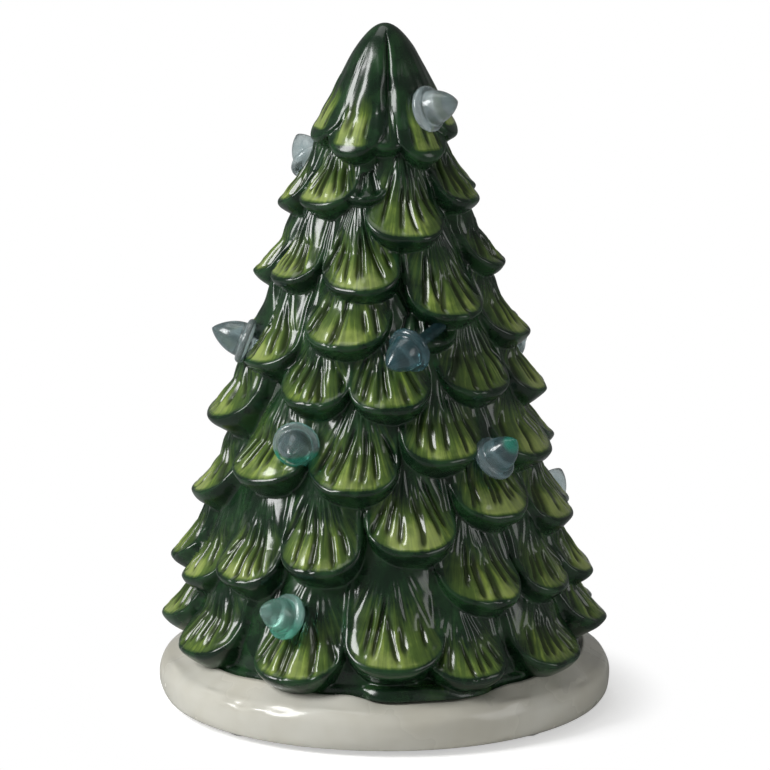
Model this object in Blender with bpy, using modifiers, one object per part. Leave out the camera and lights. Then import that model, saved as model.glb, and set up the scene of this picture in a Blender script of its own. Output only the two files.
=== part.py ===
"""A glazed ceramic Christmas tree lantern: lobed tree casting, snow base, plastic bulbs and a battery light.

Sizes are metres and +Z is up. The origin is the middle of the footprint, on the surface that the lantern
stands on. A bearing is in degrees round the tree: 0 faces -Y, the front, and 90 faces +X.
"""
import math
from collections import namedtuple

import bmesh
import bpy
import numpy as np
from mathutils import Matrix, Vector

MM = 0.001

# Clearances
SEAT_GAP = 0.3 * MM
SLIDE_GAP = 0.3 * MM
SWING_GAP = 0.5 * MM

# Tree casting
TREE_HEIGHT = 178.0 * MM
TREE_WALL = 3.6 * MM
TREE_FOOT_RADIUS = 51.0 * MM
FOOT_BAND = 2.5 * MM
LOBE_DEPTH = 9.0 * MM
APEX_ROUND = 5.5 * MM
APEX_FLARE = 0.62
CROWN_START = 0.79
CROWN_CORE_RADIUS = 17.0 * MM
CROWN_CORE_SLOPE = 0.50
CAVITY_TOP_SHARE = 0.93
CAVITY_TOP_RADIUS = 3.0 * MM
CAVITY_LEVELS = 6

# Outline of the lobe tips: share of the tree's height, then radius as a multiple of the foot's
TIP_LINE = (
    (0.000, 1.176),
    (0.112, 1.143),
    (0.225, 1.039),
    (0.337, 0.945),
    (0.449, 0.843),
    (0.562, 0.729),
    (0.646, 0.624),
    (0.742, 0.514),
    (0.843, 0.420),
    (1.000, 0.235),
)

# Form of one lobe
RIM_SLOPE = 0.80
CROWN_RIM_SLOPE = 0.77
UPPER_SLOPE = 0.46
SLOPE_KNEE = 9.5 * MM
UNDER_SLOPE = 1.25
SIDE_SLOPE = 2.8
EDGE_DROP = 1.2 * MM
SIDE_OVERLAP = 3.6 * MM
TENT_SHARE = 0.50
RIDGE_ROUND = 0.16
RIM_RISE = 0.95
RIM_BLEND = 3.4 * MM
VALLEY_BLEND = 0.8 * MM
NARROWEST = 0.12
STRAIGHT_SHARE = 0.50
TAPER_SHARE = 0.85
TAPER_POWER = 0.70

Lobe = namedtuple("Lobe", "bearing share half length reach")

# Tiers of lobes from the crown down: lobes that fill the back, then each front lobe's bearing, the height
# of its rim as a share of the tree's, half its width, its length, and what it adds to the tips' outline
TIERS = (
    (3, ((-72, 0.843, 9.2, 27, 0.0), (-29, 0.838, 9.2, 28, 0.0), (2, 0.832, 7.0, 27, -2.6),
         (35, 0.820, 8.0, 30, 0.0), (75, 0.848, 9.0, 27, 0.0))),
    (3, ((-92, 0.736, 11.0, 20, 1.9), (-51, 0.746, 12.5, 21, 0.0), (-17, 0.758, 9.0, 18, -3.0),
         (17, 0.706, 15.0, 24, 0.0), (67, 0.746, 12.0, 21, 0.0))),
    (4, ((-92, 0.632, 10.5, 20, 1.8), (-62, 0.637, 12.0, 21, 0.0), (-13, 0.634, 14.6, 24, 0.0),
         (36, 0.596, 14.5, 24, 0.0), (77, 0.652, 11.0, 20, 1.0))),
    (5, ((-64, 0.517, 13.5, 23, 0.0), (-20, 0.558, 13.0, 21, 0.0), (22, 0.560, 10.0, 18, -3.0),
         (78, 0.550, 12.5, 21, 0.6))),
    (4, ((-79, 0.430, 15.5, 22, 3.4), (-30, 0.476, 11.0, 19, 0.0), (1, 0.475, 12.5, 20, 0.0),
         (44, 0.488, 14.5, 22, 0.0), (81, 0.466, 12.0, 20, 0.8))),
    (4, ((-87, 0.310, 13.0, 22, 1.6), (-50, 0.360, 13.4, 25, 0.0), (-11, 0.361, 14.0, 24, 0.0),
         (21.5, 0.401, 12.5, 21, 0.0), (67, 0.384, 14.0, 23, 0.0))),
    (5, ((-93, 0.207, 12.5, 22, 3.0), (-77, 0.192, 12.0, 22, 0.0), (-49, 0.217, 11.5, 23, 0.0),
         (-22, 0.248, 13.5, 24, 0.0), (9.5, 0.279, 13.5, 24, 0.0), (41.5, 0.315, 13.5, 22, 0.0),
         (75, 0.282, 13.5, 22, 0.0))),
    (5, ((-90, 0.120, 12.0, 20, 1.8), (-63, 0.112, 12.5, 21, 0.0), (-26.5, 0.126, 12.0, 23, 0.0),
         (2.5, 0.139, 13.5, 26, 0.0), (34, 0.201, 13.0, 23, 0.0), (59, 0.198, 13.0, 21, 0.0),
         (81, 0.196, 13.0, 21, 1.0))),
    (0, ((24.5, 0.109, 10.5, 18, 0.0), (55, 0.102, 14.0, 20, 0.0), (80, 0.126, 13.0, 19, 1.0),
         (109, 0.124, 13.0, 19, 0.0), (139, 0.118, 13.0, 19, 0.0))),
)
BACK_LOBE_LENGTH = 21.0 * MM
BACK_LOBE_STAGGER = 0.008

# Fineness of the tree's surface before and after it is thinned out
TREE_COLUMNS = 240
TREE_ROWS = 190
TREE_SIDE_SHARE = 0.965
TREE_KEEP = 0.044

# Snow base
SNOW_RADIUS = 59.5 * MM
SNOW_FOOT_RADIUS = 57.2 * MM
SNOW_BULGE_HEIGHT = 4.7 * MM
SNOW_HEIGHT = 11.5 * MM
SNOW_SHOULDER = 1.5 * MM
SNOW_LIP = 0.2 * MM
SEAT_WIDTH = 7.0 * MM
LEDGE_THICKNESS = 3.2 * MM

# Bulbs
BULB_COLLAR_RADIUS = 6.0 * MM
BULB_COLLAR_THICKNESS = 2.4 * MM
BULB_CONE_RADIUS = 4.5 * MM
BULB_CONE_LENGTH = 8.2 * MM
BULB_PEG_RADIUS = 1.6 * MM
BULB_PEG_LENGTH = 13.0 * MM
BULB_STEPS = 10

Bulb = namedtuple("Bulb", "bearing share radius axis drawn_out")

# Each bulb: bearing, height as a share of the tree's, starting radius, the way it points, and whether it
# hangs part way out of its hole. The first ten are those that the front shows.
BULBS = (
    Bulb(41.5, 0.885, 16.5 * MM, (0.77, -0.572, 0.288), False),
    Bulb(-125, 0.794, 24.0 * MM, (-0.43, 0.633, 0.650), False),
    Bulb(142, 0.668, 32.0 * MM, (0.60, 0.620, 0.500), False),
    Bulb(-73, 0.545, 37.0 * MM, (-0.93, 0.077, 0.352), False),
    Bulb(20.5, 0.580, 33.0 * MM, (-0.58, -0.753, -0.306), True),
    Bulb(127, 0.509, 40.5 * MM, (0.55, 0.820, 0.150), False),
    Bulb(-31.5, 0.420, 44.2 * MM, (-0.150, -0.985, -0.060), False),
    Bulb(41.0, 0.413, 45.5 * MM, (0.58, -0.519, 0.625), False),
    Bulb(121, 0.274, 51.5 * MM, (0.42, 0.660, 0.620), False),
    Bulb(-29.5, 0.193, 54.4 * MM, (-0.67, -0.631, 0.393), False),
    Bulb(176, 0.885, 17.0 * MM, (0.05, 0.900, 0.430), False),
    Bulb(-168, 0.700, 30.0 * MM, (-0.15, 0.900, 0.400), False),
    Bulb(-146, 0.560, 38.0 * MM, (-0.55, 0.780, 0.300), False),
    Bulb(172, 0.520, 40.0 * MM, (0.15, 0.930, 0.330), False),
    Bulb(-163, 0.385, 46.5 * MM, (-0.30, 0.900, 0.320), False),
    Bulb(158, 0.330, 49.0 * MM, (0.35, 0.880, 0.320), False),
    Bulb(-137, 0.235, 53.0 * MM, (-0.65, 0.690, 0.320), False),
    Bulb(-160, 0.185, 54.0 * MM, (-0.70, 0.580, 0.400), False),
)
DRAWN_OUT_SHARE = 0.62
SEAT_SEARCH = 14.0 * MM
SEAT_STEP = 0.1 * MM

# Foot pads
PAD_COUNT = 4
PAD_OFFSET_SHARE = 0.5
PAD_RADIUS = 4.6 * MM
PAD_HEIGHT = 1.2 * MM

# Battery cells, size AAA
CELL_COUNT = 3
CELL_RADIUS = 5.25 * MM
CELL_LENGTH = 44.5 * MM
CELL_NUB_RADIUS = 1.9 * MM
CELL_NUB_HEIGHT = 0.8 * MM
CELL_SPACING_GAP = 0.6 * MM
CELL_EDGE = 0.6 * MM

# Contacts
SPRING_LENGTH = 4.0 * MM
SPRING_WIRE_RADIUS = 0.3 * MM
SPRING_TIP_RADIUS = 2.4 * MM
SPRING_BASE_RADIUS = 3.4 * MM
SPRING_TURNS = 2.5
SPRING_POINTS_PER_TURN = 8
CONTACT_THICKNESS = 0.5 * MM
CONTACT_WIDTH = 8.4 * MM

# Battery housing
FLANGE_RECESS = 0.5 * MM
FLOOR_THICKNESS = 3.2 * MM
FLANGE_WIDTH = 5.4 * MM
HOUSING_WALL = 1.8 * MM
BOX_WALL = 3.4 * MM
BOX_CEILING = 1.6 * MM
WIRE_SPACE = 3.0 * MM
SEAL_THICKNESS = 1.2 * MM
COVER_THICKNESS = 1.4 * MM
SCREW_BOSS_RADIUS = 2.8 * MM
COVER_SCREW_INSET = 5.6 * MM
COVER_SCREW_BEARINGS = (30, -30, 180)

# Battery door
DOOR_THICKNESS = 2.0 * MM
DOOR_MARGIN = 2.2 * MM
DOOR_LUG_RADIUS = 4.2 * MM
DOOR_LUG_REACH = 3.4 * MM
DOOR_PIN_RADIUS = 0.5 * MM
DOOR_PIN_LENGTH = 0.9 * MM
GRIP_RIB_COUNT = 3
GRIP_RIB_WIDTH = 0.8 * MM
GRIP_RIB_DEPTH = 0.5 * MM
GRIP_RIB_PITCH = 2.0 * MM
GRIP_RIB_LENGTH = 14.0 * MM

# Screws
SCREW_HEAD_RADIUS = 2.4 * MM
SCREW_HEAD_HEIGHT = 0.9 * MM
SCREW_SHANK_RADIUS = 1.2 * MM
SCREW_LENGTH = 6.0 * MM
SCREW_SLOT_WIDTH = 0.7 * MM
SCREW_SLOT_DEPTH = 0.45 * MM

# Switch
SWITCH_TRAVEL = 2.0 * MM
KNOB_LENGTH = 4.0 * MM
KNOB_WIDTH = 2.4 * MM
KNOB_STANDS_PROUD = 0.8 * MM
KNOB_PLATE_LENGTH = 7.0 * MM
KNOB_PLATE_WIDTH = 4.2 * MM
KNOB_PLATE_THICKNESS = 0.8 * MM
SWITCH_LENGTH = 14.0 * MM
SWITCH_SIDE = 0.9 * MM
SWITCH_HEIGHT = 4.6 * MM

# Light
BOARD_LENGTH = 25.0 * MM
BOARD_WIDTH = 13.0 * MM
BOARD_THICKNESS = 1.2 * MM
LED_COUNT = 3
LED_SPACING = 8.0 * MM
LED_RADIUS = 2.5 * MM
LED_RIM_RADIUS = 2.9 * MM
LED_RIM_HEIGHT = 1.0 * MM
LED_HEIGHT = 8.6 * MM
DOME_RADIUS = 17.5 * MM
DOME_HEIGHT = 15.5 * MM
DOME_WALL = 1.2 * MM

# Wires
WIRE_RADIUS = 0.6 * MM
WIRE_HOLE_OFFSET = 4.0 * MM

# Places that follow from the sizes above
SNOW_BOTTOM = PAD_HEIGHT + SEAT_GAP
SNOW_TOP = SNOW_BOTTOM + SNOW_HEIGHT
TREE_BOTTOM = SNOW_TOP + SEAT_GAP
FLOOR_BOTTOM = SNOW_BOTTOM + FLANGE_RECESS
FLOOR_TOP = FLOOR_BOTTOM + FLOOR_THICKNESS
SEAL_BOTTOM = FLOOR_TOP + SEAT_GAP
LEDGE_BOTTOM = SEAL_BOTTOM + SEAL_THICKNESS + SEAT_GAP
LEDGE_TOP = LEDGE_BOTTOM + LEDGE_THICKNESS
CELL_PITCH = 2 * CELL_RADIUS + CELL_SPACING_GAP
WELL_LENGTH = CELL_LENGTH + SPRING_LENGTH + CONTACT_THICKNESS + 4 * SEAT_GAP
WELL_WIDTH = CELL_PITCH * CELL_COUNT - CELL_SPACING_GAP + 2 * SEAT_GAP
DOOR_TOP = FLOOR_BOTTOM + DOOR_THICKNESS
CELL_BOTTOM = DOOR_TOP + SEAT_GAP
CELL_AXIS = CELL_BOTTOM + CELL_RADIUS
WELL_TOP = CELL_AXIS + CELL_RADIUS + SEAT_GAP
BOX_TOP = WELL_TOP + BOX_CEILING
BOX_LENGTH = WELL_LENGTH + 2 * BOX_WALL
BOX_WIDTH = WELL_WIDTH + 2 * BOX_WALL
HOUSING_TOP = BOX_TOP + WIRE_SPACE
HOUSING_INNER_RADIUS = math.hypot(BOX_LENGTH / 2, BOX_WIDTH / 2) + SEAT_GAP
HOUSING_RADIUS = HOUSING_INNER_RADIUS + HOUSING_WALL
FLANGE_RADIUS = HOUSING_RADIUS + FLANGE_WIDTH
BORE_RADIUS = HOUSING_RADIUS + SLIDE_GAP
REBATE_RADIUS = FLANGE_RADIUS + SLIDE_GAP
COVER_BOTTOM = HOUSING_TOP + SEAT_GAP
COVER_TOP = COVER_BOTTOM + COVER_THICKNESS
BOARD_BOTTOM = COVER_TOP + SEAT_GAP
BOARD_TOP = BOARD_BOTTOM + BOARD_THICKNESS
COVER_SCREW_CIRCLE = HOUSING_INNER_RADIUS - COVER_SCREW_INSET
DOOR_HALF_LENGTH = WELL_LENGTH / 2 + DOOR_MARGIN
DOOR_HALF_WIDTH = WELL_WIDTH / 2 + DOOR_MARGIN
DOOR_MIDDLE = FLOOR_BOTTOM + DOOR_THICKNESS / 2
HINGE_X = -DOOR_HALF_LENGTH + DOOR_THICKNESS / 2
DOOR_SCREW_X = DOOR_HALF_LENGTH + DOOR_LUG_REACH
SCREW_HEAD_TOP = FLOOR_BOTTOM + SCREW_HEAD_HEIGHT
CAVITY_FOOT_RADIUS = TREE_FOOT_RADIUS - SEAT_WIDTH
REACH_LIMIT = SNOW_RADIUS - SNOW_LIP
SWITCH_OFFSET = (BOX_WIDTH / 2 + HOUSING_INNER_RADIUS) / 2
DOOR_HOLE_TOP = SCREW_HEAD_TOP + SCREW_LENGTH + SWING_GAP

MANY_STEPS = 40
SOME_STEPS = 20
FEW_STEPS = 10


def clear_scene():
    """Remove what the scene holds."""
    for item in list(bpy.data.objects):
        bpy.data.objects.remove(item, do_unlink=True)


def new_collection(name):
    """Return a new collection in the scene."""
    collection = bpy.data.collections.new(name)
    bpy.context.scene.collection.children.link(collection)
    return collection


def new_material(name, colour, roughness, metallic=0.0, alpha=1.0):
    """Return a Principled material."""
    material = bpy.data.materials.new(name)
    material.use_nodes = True
    shader = material.node_tree.nodes["Principled BSDF"]
    shader.inputs["Base Color"].default_value = (*colour, 1.0)
    shader.inputs["Roughness"].default_value = roughness
    shader.inputs["Metallic"].default_value = metallic
    shader.inputs["Alpha"].default_value = alpha
    material.diffuse_color = (*colour, 1.0)
    return material


clear_scene()
PARTS = new_collection("ceramic_tree_lantern")
CUTTERS = new_collection("cutters")
DRILLS = new_collection("bulb_drills")

GREEN_GLAZE = new_material("green_glaze", (0.045, 0.130, 0.050), 0.15)
SNOW_GLAZE = new_material("snow_glaze", (0.640, 0.620, 0.560), 0.20)
BULB_PLASTIC = new_material("bulb_plastic", (0.420, 0.500, 0.520), 0.18, alpha=0.6)
WHITE_PLASTIC = new_material("white_plastic", (0.780, 0.780, 0.760), 0.40)
BLACK_PLASTIC = new_material("black_plastic", (0.030, 0.030, 0.032), 0.45)
CLEAR_SILICONE = new_material("clear_silicone", (0.700, 0.700, 0.680), 0.50)
SPRING_STEEL = new_material("spring_steel", (0.560, 0.560, 0.550), 0.25, metallic=1.0)
CELL_SLEEVE = new_material("cell_sleeve", (0.080, 0.080, 0.090), 0.30)
BOARD_LAMINATE = new_material("board_laminate", (0.750, 0.760, 0.740), 0.45)
LED_RESIN = new_material("led_resin", (0.800, 0.820, 0.800), 0.12, alpha=0.7)
RED_WIRE = new_material("red_wire", (0.450, 0.020, 0.020), 0.45)
BLACK_WIRE = new_material("black_wire", (0.020, 0.020, 0.020), 0.45)


def add_object(name, data, material, collection=PARTS):
    """Put a mesh or curve in the scene as an object with one material."""
    item = bpy.data.objects.new(name, data)
    if material is not None and not data.materials:
        data.materials.append(material)
    collection.objects.link(item)
    if collection is not PARTS:
        item.hide_render = True
        item.display_type = "WIRE"
    return item


def smooth_with_edges(mesh, degrees=35.0):
    """Shade a mesh smooth and keep its sharp corners."""
    mesh.shade_smooth()
    mesh.set_sharp_from_angle(angle=math.radians(degrees))


def box_mesh(name, low, high):
    """Return a box between two corners."""
    form = bmesh.new()
    bmesh.ops.create_cube(form, size=1.0)
    low = Vector(low)
    high = Vector(high)
    for vertex in form.verts:
        share = vertex.co + Vector((0.5, 0.5, 0.5))
        vertex.co = Vector([a + (b - a) * s for a, b, s in zip(low, high, share)])
    mesh = bpy.data.meshes.new(name)
    form.to_mesh(mesh)
    form.free()
    return mesh


def cylinder_mesh(name, radius, bottom, top, centre=(0.0, 0.0), steps=SOME_STEPS):
    """Return an upright cylinder."""
    form = bmesh.new()
    place = Matrix.Translation((centre[0], centre[1], (bottom + top) / 2))
    bmesh.ops.create_cone(form, cap_ends=True, segments=steps, radius1=radius, radius2=radius,
                          depth=top - bottom, matrix=place)
    mesh = bpy.data.meshes.new(name)
    form.to_mesh(mesh)
    form.free()
    smooth_with_edges(mesh)
    return mesh


def profile_mesh(name, points, closed):
    """Return the edges of a profile in the XZ plane, as (radius, height) points."""
    mesh = bpy.data.meshes.new(name)
    count = len(points)
    edges = [(k, k + 1) for k in range(count - 1)]
    if closed:
        edges.append((count - 1, 0))
    mesh.from_pydata([(radius, 0.0, height) for radius, height in points], edges, [])
    return mesh


def add_turned(name, points, material, steps, closed=False, collection=PARTS, mesh=None):
    """Add a turned shape. Its profile runs down the outer side, from top to bottom."""
    if mesh is None:
        mesh = profile_mesh(name, points, closed)
    item = add_object(name, mesh, material, collection)
    screw = item.modifiers.new("turn", "SCREW")
    screw.axis = "Z"
    screw.angle = math.tau
    screw.steps = steps
    screw.render_steps = steps
    screw.use_merge_vertices = True
    screw.merge_threshold = 0.00001
    screw.use_smooth_shade = False
    return item


def add_tube(name, points, radius, material, resolution):
    """Add a round wire along a list of points."""
    curve = bpy.data.curves.new(name, "CURVE")
    curve.dimensions = "3D"
    curve.bevel_depth = radius
    curve.bevel_resolution = resolution
    curve.use_fill_caps = True
    spline = curve.splines.new("POLY")
    spline.points.add(len(points) - 1)
    for point, place in zip(spline.points, points):
        point.co = (*place, 1.0)
    return add_object(name, curve, material)


def add_boolean(item, operation, cutter=None, collection=None):
    """Join a solid to an object, or cut it out."""
    modifier = item.modifiers.new(operation.lower(), "BOOLEAN")
    modifier.operation = operation
    modifier.solver = "EXACT"
    if collection is not None:
        modifier.operand_type = "COLLECTION"
        modifier.collection = collection
    else:
        modifier.object = cutter
    return modifier


def cut(item, mesh):
    """Cut a mesh out of an object."""
    return add_boolean(item, "DIFFERENCE", add_object(mesh.name + "_cutter", mesh, None, CUTTERS))


def join(item, mesh):
    """Join a mesh to an object."""
    return add_boolean(item, "UNION", add_object(mesh.name + "_join", mesh, None, CUTTERS))


def smooth_min(a, b, blend):
    """Return the lower of two values, rounded where they meet."""
    mix = np.clip(0.5 + 0.5 * (b - a) / blend, 0.0, 1.0)
    return b * (1.0 - mix) + a * mix - blend * mix * (1.0 - mix)


def smooth_max(a, b, blend):
    """Return the higher of two values, rounded where they meet."""
    return -smooth_min(-a, -b, blend)


def tip_radius(height):
    """Return the radius of the tips' outline at a height."""
    shares, radii = zip(*TIP_LINE)
    return np.interp(height / TREE_HEIGHT, shares, radii) * TREE_FOOT_RADIUS


def core_radius(height):
    """Return the radius of the body behind the lobes."""
    crown_start = CROWN_START * TREE_HEIGHT
    crown = CROWN_CORE_RADIUS - CROWN_CORE_SLOPE * (height - crown_start)
    return np.where(height > crown_start, crown, tip_radius(height) - LOBE_DEPTH)


def apex_radius(height):
    """Return the radius of the rounded apex, which limits everything near the top."""
    drop = np.clip(TREE_HEIGHT - height, 0.0, None)
    return np.sqrt(2.0 * APEX_ROUND * drop + (APEX_FLARE * drop) ** 2)


def all_lobes():
    """Return every lobe, those of the front by hand and those of the back spread evenly between them."""
    lobes = []
    for back_count, front in TIERS:
        for bearing, share, half, length, reach in front:
            lobes.append(Lobe(bearing, share, half * MM, length * MM, reach * MM))
        first = front[0]
        last = front[-1]
        for k in range(1, back_count + 1):
            step = k / (back_count + 1)
            bearing = last[0] + (first[0] + 360.0 - last[0]) * step
            stagger = BACK_LOBE_STAGGER if k % 2 else -BACK_LOBE_STAGGER
            share = last[1] + (first[1] - last[1]) * step + stagger
            half = (first[2] + last[2]) / 2 * MM
            lobes.append(Lobe(bearing, share, half, BACK_LOBE_LENGTH, 0.0))
    return lobes


LOBES = all_lobes()


def lobe_radius(angle, height, lobe):
    """Return the radius of one lobe's surface round the tree, at angles in radians and heights."""
    in_crown = lobe.share > CROWN_START
    tip_height = lobe.share * TREE_HEIGHT
    reach = min(float(tip_radius(tip_height)) + lobe.reach, REACH_LIMIT)
    turn = (angle - math.radians(lobe.bearing) + math.pi) % math.tau - math.pi
    above = height - tip_height
    half = lobe.half + SIDE_OVERLAP
    slope = CROWN_RIM_SLOPE if in_crown else RIM_SLOPE
    ridge = reach - slope * above + (slope - UPPER_SLOPE) * np.clip(above - SLOPE_KNEE, 0.0, None)
    if in_crown:
        scale = np.clip(ridge / reach, NARROWEST, 1.0)
        across = np.abs(turn) * reach * scale
        width = half * scale
    else:
        scale = 1.0
        across = np.abs(turn) * reach
        run = (above - STRAIGHT_SHARE * lobe.length) / (TAPER_SHARE * lobe.length)
        width = half * np.clip(1.0 - np.clip(run, 0.0, 1.0), NARROWEST, 1.0) ** TAPER_POWER
    beside = np.clip(across / width, 0.0, 1.0)
    tent = np.sqrt(beside**2 + RIDGE_ROUND**2) - RIDGE_ROUND
    dome = 1.0 - np.sqrt(1.0 - beside**2)
    crowning = TENT_SHARE * tent + (1.0 - TENT_SHARE) * dome
    lift = np.clip(ridge - core_radius(height), 0.0, LOBE_DEPTH) + EDGE_DROP * scale
    top = ridge - lift * crowning - SIDE_SLOPE * np.clip(across - width, 0.0, None)
    share = np.clip(across / half, 0.0, 1.0)
    rise = RIM_RISE * half * (1.0 - np.sqrt(1.0 - share**2)) + SIDE_SLOPE * np.clip(across - half, 0.0, None)
    under = reach + UNDER_SLOPE * (above - rise)
    return smooth_min(top, under, RIM_BLEND)


def tree_radius(angle, height):
    """Return the radius of the whole tree, at angles in radians and heights."""
    radius = core_radius(height)
    for lobe in LOBES:
        radius = smooth_max(radius, lobe_radius(angle, height, lobe), VALLEY_BLEND)
    near_foot = height < TREE_BOTTOM + FOOT_BAND
    radius = np.where(near_foot, np.maximum(radius, TREE_FOOT_RADIUS), radius)
    radius = np.where(height < TREE_BOTTOM + SEAT_GAP, TREE_FOOT_RADIUS, radius)
    return np.minimum(radius, apex_radius(height))


def tree_mesh():
    """Return the tree's outer surface: a sphere whose points are moved out to the lobes."""
    form = bmesh.new()
    bmesh.ops.create_uvsphere(form, u_segments=TREE_COLUMNS, v_segments=TREE_ROWS, radius=1.0)
    places = np.array([vertex.co for vertex in form.verts])
    fall = np.arccos(np.clip(places[:, 2], -1.0, 1.0)) / math.pi
    angle = np.arctan2(places[:, 0], -places[:, 1])
    on_side = np.clip(fall / TREE_SIDE_SHARE, 0.0, 1.0)
    height = TREE_HEIGHT - (TREE_HEIGHT - TREE_BOTTOM) * on_side
    inwards = np.clip((1.0 - fall) / (1.0 - TREE_SIDE_SHARE), 0.0, 1.0)
    radius = tree_radius(angle, height) * inwards
    for vertex, a, h, r in zip(form.verts, angle, height, radius):
        vertex.co = (r * math.sin(a), -r * math.cos(a), h)
    mesh = bpy.data.meshes.new("tree_casting")
    form.to_mesh(mesh)
    form.free()
    smooth_with_edges(mesh, 60.0)
    return mesh


def cavity_profile():
    """Return the hollow inside the tree, which follows the outline one wall behind the lobes."""
    top = CAVITY_TOP_SHARE * TREE_HEIGHT
    crown_start = CROWN_START * TREE_HEIGHT
    points = [(0.0, top), (CAVITY_TOP_RADIUS, top - CAVITY_TOP_RADIUS / 2)]
    for k in range(CAVITY_LEVELS):
        down = k / (CAVITY_LEVELS - 1)
        height = crown_start + (TREE_BOTTOM + SEAT_WIDTH - crown_start) * down
        points.append((float(tip_radius(height)) - LOBE_DEPTH - TREE_WALL, height))
    points.append((CAVITY_FOOT_RADIUS, TREE_BOTTOM))
    points.append((CAVITY_FOOT_RADIUS, TREE_BOTTOM - SEAT_WIDTH))
    points.append((0.0, TREE_BOTTOM - SEAT_WIDTH))
    return points


def bulb_profile(grow=0.0):
    """Return a bulb's turned outline, with its collar's rear face at height 0 and its cone upwards."""
    tip = BULB_COLLAR_THICKNESS + BULB_CONE_LENGTH
    collar = BULB_COLLAR_RADIUS + grow
    cone = BULB_CONE_RADIUS + grow
    peg = BULB_PEG_RADIUS + grow
    return [
        (0.0, tip + grow),
        (0.36 * cone, tip - 0.09 * BULB_CONE_LENGTH + grow),
        (0.80 * cone, BULB_COLLAR_THICKNESS + 0.48 * BULB_CONE_LENGTH + grow),
        (cone, BULB_COLLAR_THICKNESS + grow),
        (collar, 0.55 * BULB_COLLAR_THICKNESS + grow),
        (0.86 * collar, -grow),
        (peg, -grow),
        (peg, -BULB_PEG_LENGTH - grow),
        (0.0, -BULB_PEG_LENGTH - grow),
    ]


def bulb_seat(bulb):
    """Return where a bulb's collar rests: the first contact on its way in along its own axis."""
    axis = Vector(bulb.axis).normalized()
    height = bulb.share * TREE_HEIGHT
    angle = math.radians(bulb.bearing)
    start = Vector((bulb.radius * math.sin(angle), -bulb.radius * math.cos(angle), height))
    if bulb.drawn_out:
        return start + axis * BULB_PEG_LENGTH * DRAWN_OUT_SHARE, axis
    frame = axis.to_track_quat("Z", "Y").to_matrix()
    ring = []
    for radius, along in bulb_profile()[1:6]:
        for k in range(SOME_STEPS):
            turn = math.tau * k / SOME_STEPS
            ring.append(frame @ Vector((radius * math.cos(turn), radius * math.sin(turn), along)))
    slides = np.arange(SEAT_SEARCH, -SEAT_SEARCH, -SEAT_STEP)
    places = np.array(ring)[None, :, :] + np.array(start) + slides[:, None, None] * np.array(axis)
    radii = np.hypot(places[..., 0], places[..., 1])
    angles = np.arctan2(places[..., 0], -places[..., 1])
    touching = np.any(radii < tree_radius(angles, places[..., 2]), axis=1)
    return start + axis * float(slides[np.argmax(touching)]), axis


def add_bulbs():
    """Add the bulbs and the drills that make their holes and seats."""
    bulb_form = profile_mesh("bulb", bulb_profile(), False)
    drill_form = profile_mesh("bulb_drill", bulb_profile(SEAT_GAP), False)
    for number, bulb in enumerate(BULBS, start=1):
        seat, axis = bulb_seat(bulb)
        place = Matrix.Translation(seat) @ axis.to_track_quat("Z", "Y").to_matrix().to_4x4()
        item = add_turned(f"bulb_{number:02d}", None, BULB_PLASTIC, BULB_STEPS, mesh=bulb_form)
        item.matrix_world = place
        drill = add_turned(f"bulb_drill_{number:02d}", None, None, BULB_STEPS, collection=DRILLS,
                           mesh=drill_form)
        drill.matrix_world = place


def add_tree():
    """Add the tree casting: lobed outside, hollow inside, drilled for its bulbs."""
    tree = add_object("tree_casting", tree_mesh(), GREEN_GLAZE)
    thin = tree.modifiers.new("thin_out", "DECIMATE")
    thin.ratio = TREE_KEEP
    cavity = add_turned("tree_cavity", cavity_profile(), None, SOME_STEPS, collection=CUTTERS)
    add_boolean(tree, "DIFFERENCE", cavity)
    add_boolean(tree, "DIFFERENCE", collection=DRILLS)


def arc_points(centre, radii, start, end, count):
    """Return points on an elliptical arc, with its angles in degrees."""
    points = []
    for k in range(count):
        turn = math.radians(start + (end - start) * k / (count - 1))
        points.append((centre[0] + radii[0] * math.cos(turn), centre[1] + radii[1] * math.sin(turn)))
    return points


def add_snow_base():
    """Add the snow base: a rounded ring with a ledge inside that the light module fits under."""
    shoulder = TREE_FOOT_RADIUS + SNOW_SHOULDER
    bulge = SNOW_BOTTOM + SNOW_BULGE_HEIGHT
    upper = arc_points((shoulder, bulge), (SNOW_RADIUS - shoulder, SNOW_TOP - bulge), 90, 0, 6)
    lower = arc_points((SNOW_FOOT_RADIUS, bulge), (SNOW_RADIUS - SNOW_FOOT_RADIUS, SNOW_BULGE_HEIGHT),
                       0, -90, 4)
    points = [(CAVITY_FOOT_RADIUS, SNOW_TOP)] + upper + lower[1:]
    points += [
        (REBATE_RADIUS, SNOW_BOTTOM),
        (REBATE_RADIUS, LEDGE_BOTTOM),
        (BORE_RADIUS, LEDGE_BOTTOM),
        (BORE_RADIUS, LEDGE_TOP),
        (CAVITY_FOOT_RADIUS, LEDGE_TOP),
    ]
    add_turned("snow_base", points, SNOW_GLAZE, MANY_STEPS, closed=True)


def add_foot_pads():
    """Add the pads under the snow base, midway across its underside."""
    circle = (REBATE_RADIUS + SNOW_FOOT_RADIUS) / 2
    form = cylinder_mesh("foot_pad", PAD_RADIUS, 0.0, PAD_HEIGHT, steps=FEW_STEPS)
    for number in range(PAD_COUNT):
        turn = math.tau * (number + PAD_OFFSET_SHARE) / PAD_COUNT
        pad = add_object(f"foot_pad_{number + 1}", form, CLEAR_SILICONE)
        pad.location = (circle * math.cos(turn), circle * math.sin(turn), 0.0)


def boss_places():
    """Return the centres of the cover screws."""
    return [(COVER_SCREW_CIRCLE * math.sin(math.radians(bearing)),
             -COVER_SCREW_CIRCLE * math.cos(math.radians(bearing))) for bearing in COVER_SCREW_BEARINGS]


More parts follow.
